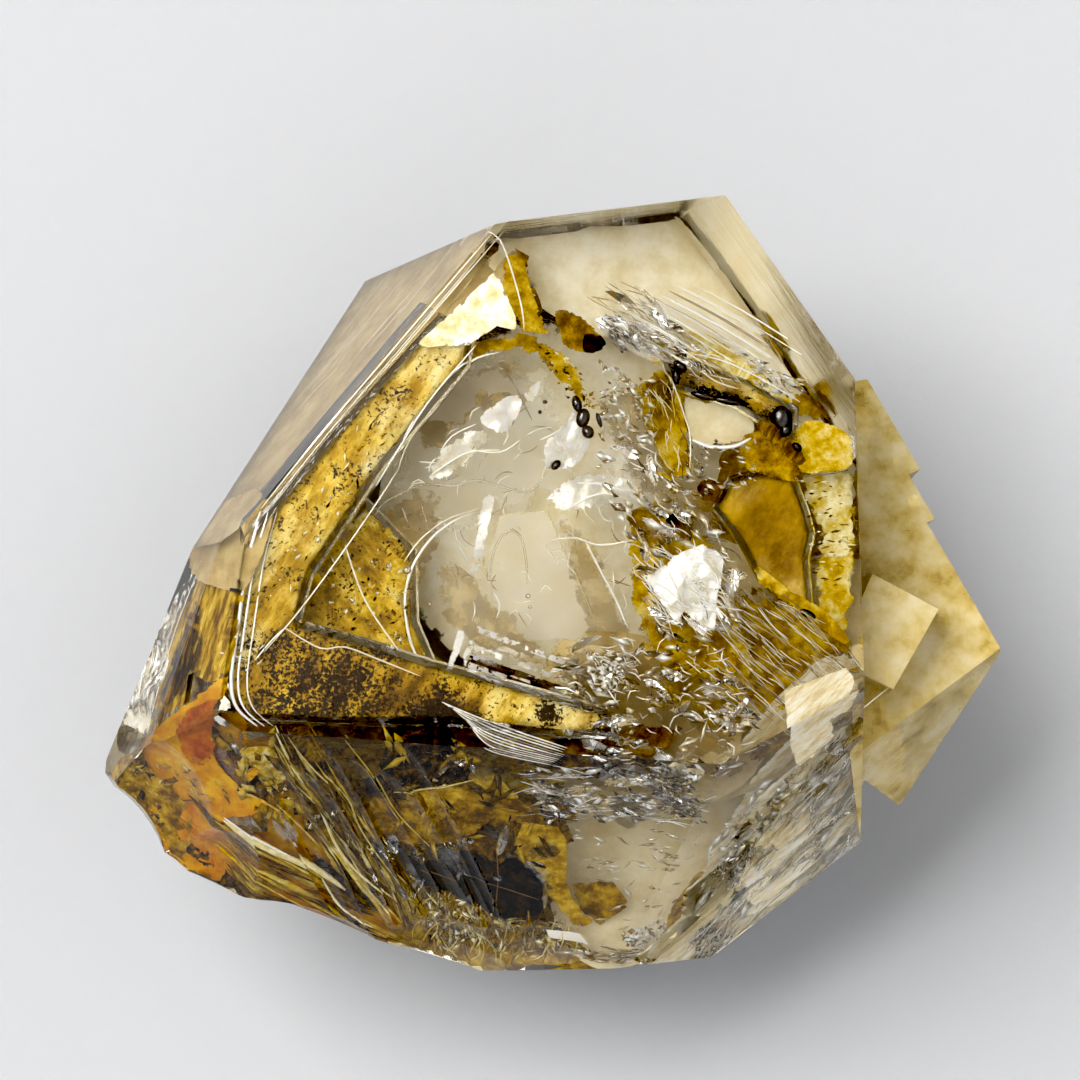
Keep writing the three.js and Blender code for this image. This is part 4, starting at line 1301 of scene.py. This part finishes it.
def add_blocks():
    add_stains("blocks", IRON, "dark_earth", FRONT, "tone depth outline", [
        (0.0, 0.7, [(420, 861), (443, 864), (457, 877), (459, 852), (477, 854), (500, 864), (512, 854),
         (542, 880), (544, 916), (496, 919), (468, 905), (457, 898), (420, 887)]),
        (0.0, 0.8, [(390, 842), (417, 862), (425, 868), (420, 884), (400, 872), (392, 856)]),
        (0.26, 0.9, [(459, 852), (473, 838), (505, 841), (512, 854), (500, 864), (480, 856)]),
        (0.36, 0.9, [(369, 800), (420, 792), (466, 783), (475, 790), (496, 815), (489, 822), (459, 845),
         (425, 848), (400, 846), (358, 828)]),
        (0.44, 0.8, [(420, 792), (466, 784), (475, 790), (450, 806), (424, 812)]),
        (0.48, 1.0, [(512, 850), (523, 822), (558, 827), (567, 841), (567, 882), (581, 910), (594, 922),
         (578, 930), (544, 890), (542, 878)]),
        (0.34, 1.2, [(480, 786), (520, 800), (556, 826), (523, 822), (505, 841), (490, 822)]),
        (0.5, 1.1, [(450, 745), (480, 760), (520, 798), (500, 800), (470, 780)]),
        (0.4, 2.0, [(570, 884), (612, 880), (630, 905), (600, 925), (582, 912)]),
        (0.42, 0.9, [(661, 967), (668, 915), (690, 888), (709, 879), (706, 896), (688, 915), (676, 966)]),
    ], rim=2, spacing=6, rounded=False)


def add_moss():
    add_stains("moss_bed", IRON, "ochre_clay", FRONT, "outline", [
        [(398, 895), (425, 890), (460, 905), (500, 922), (546, 925), (590, 950), (600, 982), (480, 982),
         (400, 966)],
    ], tone=0.44, depth=1.3, rim=4, crumple=0.4, size=16, spacing=6, seed=161)
    moss = Shape()
    bed = [(398, 892), (440, 895), (500, 918), (560, 928), (590, 950), (540, 960), (430, 955)]
    strew_lines(moss, FRONT, bed, count=170, depth=0.8, length=24, width=0.09, heading=-80, spread=26,
                bend=6, tones=(0.3, 0.45, 0.6, 0.75), seed=162)
    strew_chips(moss, FRONT, bed, count=160, depth=0.8, length=12, width=4, heading=10, spread=60,
                tones=(0.2, 0.35, 0.5, 0.7, 0.9), seed=163)
    add_rows(thread_shape, moss, FRONT, "pixels", [
        [(458, 876), (490, 884), (540, 900)],
        [(496, 842), (498, 880), (494, 916)],
        [(420, 872), (440, 878), (457, 884)],
    ], depth=0.7, width=0.05, tone=0.34)
    add_piece("moss", moss, CHIPS)


def add_shelf_and_layers():
    shelf = Shape()
    sheet_shape(shelf, FRONT, [(546, 932), (581, 933), (590, 944), (549, 941)], 0.6, rounded=False, rim=2,
                spacing=5, tone=0.88)
    above = [(520, 770), (560, 768), (640, 762), (690, 775), (700, 800), (690, 826), (600, 822), (540, 815)]
    strew_chips(shelf, FRONT, above, count=130, depth=0.9, length=18, width=4.5, heading=6, spread=18,
                tones=(0.1, 0.4, 0.6, 0.85, 1.0, 1.0), seed=164)
    strew_lines(shelf, FRONT, above, count=70, depth=0.7, length=46, width=0.06, heading=5, spread=8, bend=4,
                tones=(0.1, 0.3, 1.0), seed=165)
    add_rows(strew_chips, shelf, FRONT, "count depth length width heading spread seed tones outline", [
        (70, 0.7, 18, 3.4, 34, 12, 166, (0.02, 0.1, 0.25, 0.6), [(650, 786), (690, 780), (704, 826),
         (680, 820)]),
        (60, 1.0, 16, 3, 0, 20, 167, (0.5, 0.75, 0.9), [(570, 830), (700, 830), (690, 900), (600, 940)]),
        (60, 0.8, 12, 5, 30, 60, 168, (0.4, 0.6, 0.9, 1.0), [(620, 935), (665, 920), (665, 968),
         (640, 960)]),
        (50, 0.8, 26, 3, 4, 8, 169, (0.3, 0.5, 0.66), [(560, 955), (640, 945), (650, 966), (600, 962)]),
    ])
    add_piece("shelf_and_layers", shelf, CLEAR_CHIPS)


# ---- The broken right front ----

def add_break_cloud():
    add_stains("break_cloud", BREAK, "quartz", BROKEN, "outline", [
        [(640, 960), (700, 870), (760, 770), (864, 690), (912, 780), (870, 840), (790, 900), (730, 958),
         (690, 975)],
    ], tone=0.84, depth=1.8, slope=(-0.9, -1.8), rim=10, crumple=0.2, spacing=10, seed=181)


TERRACES = 13
TERRACE_START = Vector((806, 770))
TERRACE_END = Vector((796, 900))


def add_break_terraces():
    terraces = Shape()
    along = Vector((0.77, -0.64))
    for i in range(TERRACES):
        t = i / (TERRACES - 1)
        middle = TERRACE_START.lerp(TERRACE_END, t)
        reach = 56 + 22 * math.sin(i * 2.4) - 10 * t
        step = Vector((0.36, 0.5)) * (15 + 5 * math.sin(i * 1.7))
        corners = [middle - along * reach - step, middle + along * reach - step,
                   middle + along * reach + step, middle - along * reach + step]
        sheet_shape(terraces, BROKEN, corners, depth=1.0 + 0.3 * math.sin(i * 3.1), slope=(-2.0, -3.8),
                    crumple=0.15, size=24, rim=4, spacing=6, seed=182 + i,
                    tone=0.86 + 0.1 * math.sin(i * 4.3))
    add_rows(sheet_shape, terraces, BROKEN, "tone depth outline", [
        (0.84, 0.5, [(792, 705), (853, 680), (862, 690), (850, 712), (832, 720), (836, 750), (800, 775),
         (790, 745)]),
        (0.5, 0.9, [(853, 705), (872, 700), (882, 722), (862, 742), (851, 722)]),
    ], slope=(-1.6, -3.0), rim=4, spacing=6, rounded=False)
    add_piece("break_terraces", terraces, BREAK)


def add_break_marks():
    # Partly painted light: the white fine lines, the whitest chips and the thick white line near the edge
    # are painted glints along the striations, while the tan lines and chips are the broken face's own
    # colour.
    break_marks_and_glints = Shape()
    strew_chips(break_marks_and_glints, BROKEN, BREAK_AREA, count=50, depth=0.6, length=44, width=7, heading=-50,
                spread=8, tones=(0.66, 0.8, 0.9, 0.95), seed=185)
    strew_lines(break_marks_and_glints, BROKEN, BREAK_AREA, count=190, depth=0.4, length=56, width=0.06, heading=-50,
                spread=7, bend=3, tones=(0.3, 0.5, 0.6, 0.9, 0.95, 1.0), seed=186)
    add_rows(strew_chips, break_marks_and_glints, BROKEN, "count length width heading spread seed tones outline", [
        (60, 16, 5, -50, 30, 187, (0.1, 0.3, 0.5, 0.9), [(690, 968), (700, 920), (730, 930), (740, 950),
         (720, 970)]),
        (40, 18, 6, -40, 40, 188, (0.5, 0.8, 0.95), [(700, 860), (760, 780), (800, 800), (740, 880)]),
    ], depth=0.5)
    thread_shape(break_marks_and_glints, BROKEN, [(852, 778), (876, 764), (900, 748)], depth=0.4, width=0.16, tone=1.0)
    add_piece("break_marks_and_glints", break_marks_and_glints, CLEAR_CHIPS)


# ---- The smaller crystal: spots and pale patches just below its milky skin ----

RIGHT_END = 17.5 * MM                 # the corners beyond this x are the right-hand face's
SIDE_FACE = Window(30, 4, [corner for corner in CORNERS if corner.x > RIGHT_END])


def ring(px, py, across, down):
    """Eight pixels round a place."""
    turns = [i * math.pi / 4 for i in range(8)]
    return [(px + across * math.cos(a), py + down * math.sin(a)) for a in turns]


def add_side_spots():
    spots = Shape()
    for px, py, size, tone in ((874, 412, 9, 0.5), (874, 515, 17, 0.48), (952, 625, 10, 0.34),
                               (925, 580, 4, 0.25), (942, 580, 4, 0.28), (865, 605, 6, 0.3),
                               (945, 650, 10, 0.42), (880, 570, 9, 0.5), (898, 690, 10, 0.46),
                               (935, 705, 7, 0.45), (870, 640, 10, 0.5)):
        sheet_shape(spots, SIDE_FACE, ring(px, py, size * 1.3, size * 1.6), 0.35, rim=size * 1.4,
                    spacing=4, tone=tone, cover=0.75)
    strew_chips(spots, SIDE_FACE, [(866, 600), (920, 560), (975, 640), (950, 710), (890, 690)], count=24,
                depth=0.4, length=9, width=2.4, heading=56, spread=30, tones=(0.4, 0.7, 0.9), seed=195)
    add_piece("side_spots", spots, IRON)


def add_side_pale_spots():
    pale = Shape()
    for px, py, size in ((897, 452, 10), (920, 495, 7), (951, 600, 4)):
        sheet_shape(pale, SIDE_FACE, ring(px, py, size * 1.5, size), 0.4, rim=size * 1.4, spacing=4,
                    tone=0.88, cover=0.7)
    add_rows(sheet_shape, pale, SIDE_FACE, "tone depth outline", [
        (0.64, 0.5, [(847, 650), (876, 633), (882, 658), (913, 707), (890, 718)]),
        (0.94, 0.3, [(868, 640), (876, 631), (882, 655), (872, 650)]),
        (0.94, 0.3, [(884, 716), (896, 708), (900, 714), (890, 722)]),
    ], rim=4, spacing=4, rounded=False)
    add_rows(thread_shape, pale, SIDE_FACE, "pixels", [
        [(847, 652), (868, 682), (890, 720)],
        [(880, 640), (896, 676), (914, 706)],
    ], depth=0.4, width=0.06, tone=0.9)
    add_piece("side_pale_spots", pale, CLOUD)


# ---- The crystal itself ----

CLEAR_SKIN, STRIATED_SKIN, BROKEN_SKIN, MILKY_SKIN = range(4)
FLAT = 0.999                          # how closely a flat face keeps to its direction
BROKEN_FACING = -0.25                 # the front faces beyond this are broken ones
SIDE_START = 15.4                     # the smaller crystal lies right of this, in mm
SIDE_HEIGHT = 21.9                    # and below this


def skin_of(polygon):
    """Which of the crystal's finishes a face has."""
    centre = polygon.center / MM
    if centre.x > SIDE_START and centre.z < SIDE_HEIGHT:
        return MILKY_SKIN
    aligned = max(polygon.normal.dot(window.normal) for window in (TOP, LEFT, RIDGE)) > FLAT
    if aligned or polygon.normal.z < -FLAT:
        return CLEAR_SKIN
    if polygon.normal.y < BROKEN_FACING:
        return BROKEN_SKIN
    return STRIATED_SKIN


def add_crystal(voids, cracks):
    """The quartz, with its open spaces, in place of the plain solid."""
    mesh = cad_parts["quartz_crystal"].data.copy()
    mesh.materials.clear()
    for finish in (quartz_finish("quartz_clear", grain=1.6, strength=0.10, depth=0.05),
                   quartz_finish("quartz_striated", grain=0.5, strength=0.5, depth=0.08, stretch=(6, 6, 1)),
                   quartz_finish("quartz_broken", grain=1.2, strength=0.25, depth=0.10, sheen=0.14),
                   quartz_finish("quartz_cloudy", grain=0.8, strength=0.3, depth=0.06, roughness=0.22,
                                 sheen=0.3, clear=0.6, clouds=MILKY_TONES)):
        mesh.materials.append(finish)
    for polygon in mesh.polygons:
        polygon.material_index = skin_of(polygon)
    work = bmesh.new()
    for shape in (voids, cracks):
        work.from_mesh(new_mesh("voids", shape.points, shape.faces, smooth=shape is voids))
    bmesh.ops.recalc_face_normals(work, faces=work.faces)
    bmesh.ops.reverse_faces(work, faces=work.faces)
    work.from_mesh(mesh)
    work.to_mesh(mesh)
    work.free()
    crystal = add_object("crystal", mesh)
    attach(crystal, "root")
    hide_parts("quartz_crystal")


# ---- Floor, light and look ----

FLOOR_REACH = 1.6                     # how far the paper goes each way, in metres
LAMP_TOWARD = Vector((-0.48, 0.34, 0.81)).normalized()
LAMP_DISTANCE = 1.8
LAMP_SIZE = 1.15
LAMP_WATTS = 88
LAMP_COLOUR = (1, 0.985, 0.96)
WINDOW_TOWARD = Vector((-0.78, 0.58, 0.24)).normalized()
# From the far side of the room to the window's side: place, brightness and warmth. The far side is dim,
# a bright band crosses the middle, and the window's side is bright again.
ROOM_LEVELS = [(0.0, 0.21, 0.22), (0.45, 2.7, -0.01), (0.62, 0.25, 0.12), (0.85, 1.8, 0.0), (1.0, 1.0, 0.0)]
BLUE_LOSS = 1.6                       # how much more blue than red changes with warmth


def add_floor():
    corners = [(-1, -1), (1, -1), (1, 1), (-1, 1)]
    points = [(x * FLOOR_REACH, y * FLOOR_REACH, -FLOOR_DROP) for x, y in corners]
    mesh = new_mesh("floor", points, [(0, 1, 2, 3)])
    mesh.materials.append(paper_finish())
    add_object("floor", mesh)


def add_lamp():
    """The bright window, as one soft lamp."""
    data = bpy.data.lights.new("window_light", "AREA")
    data.shape = "SQUARE"
    data.size = LAMP_SIZE
    data.energy = LAMP_WATTS
    data.color = LAMP_COLOUR
    light = add_object("window_light", data)
    light.location = LAMP_TOWARD * LAMP_DISTANCE
    light.rotation_euler = LAMP_TOWARD.to_track_quat("Z", "Y").to_euler()


def add_room():
    """The room that the crystal mirrors."""
    world = bpy.data.worlds.new("world")
    bpy.context.scene.world = world
    world.use_nodes = True
    room = Nodes(world.node_tree)
    place = room.node("TexCoord").outputs["Generated"]
    toward = room.node("VectorMath", {"operation": "DOT_PRODUCT"}, i0=place, i1=WINDOW_TOWARD)
    shift = room.node("MapRange", Value=toward.outputs["Value"], From_Min=-1, From_Max=1)
    stops = [(at, (level * (1 + warmth), level, level * (1 - BLUE_LOSS * warmth)))
             for at, level, warmth in ROOM_LEVELS]
    room.join(room.nodes["Background"], "Color", room.ramp(shift.outputs["Result"], stops))
    room.join(room.nodes["Background"], "Strength", 1.0)


def set_look():
    scene = bpy.context.scene
    scene.view_settings.view_transform = "Standard"
    scene.view_settings.look = "None"
    scene.view_settings.use_curve_mapping = True
    scene.view_settings.curve_mapping.black_level = (BLACK_LEVEL,) * 3
    scene.cycles.max_bounces = 16
    scene.cycles.transmission_bounces = 16
    scene.cycles.transparent_max_bounces = 20
    scene.cycles.glossy_bounces = 8
    scene.cycles.diffuse_bounces = 3
    scene.cycles.use_adaptive_sampling = True
    scene.cycles.adaptive_threshold = 0.05
    scene.cycles.adaptive_min_samples = 8


add_camera()
add_floor()
add_lamp()
add_room()
set_look()
add_rim_clay()
add_amber_clay()
add_dark_earth()
add_iron_oxide()
add_floor_clay()
add_leaf_clay()
add_left_clouds()
add_deep_clouds()
add_golden_clouds()
add_ridge_planes()
add_ridge_lines()
add_ridge_marks()
add_chamber_films()
add_chamber_arcs()
add_chamber_drops()
add_lamellae()
add_under_lamellae()
add_star_patch()
add_crumbled_quartz()
add_fan()
add_upper_right_stains()
add_oxide_marks()
add_hair_striations()
add_stepped_edge()
add_amber_stains()
add_brown_planks()
add_front_ribs()
add_tip_flakes()
add_blocks()
add_moss()
add_shelf_and_layers()
add_break_cloud()
add_break_terraces()
add_break_marks()
add_side_spots()
add_side_pale_spots()
add_crystal(fluid_voids(), open_cracks())
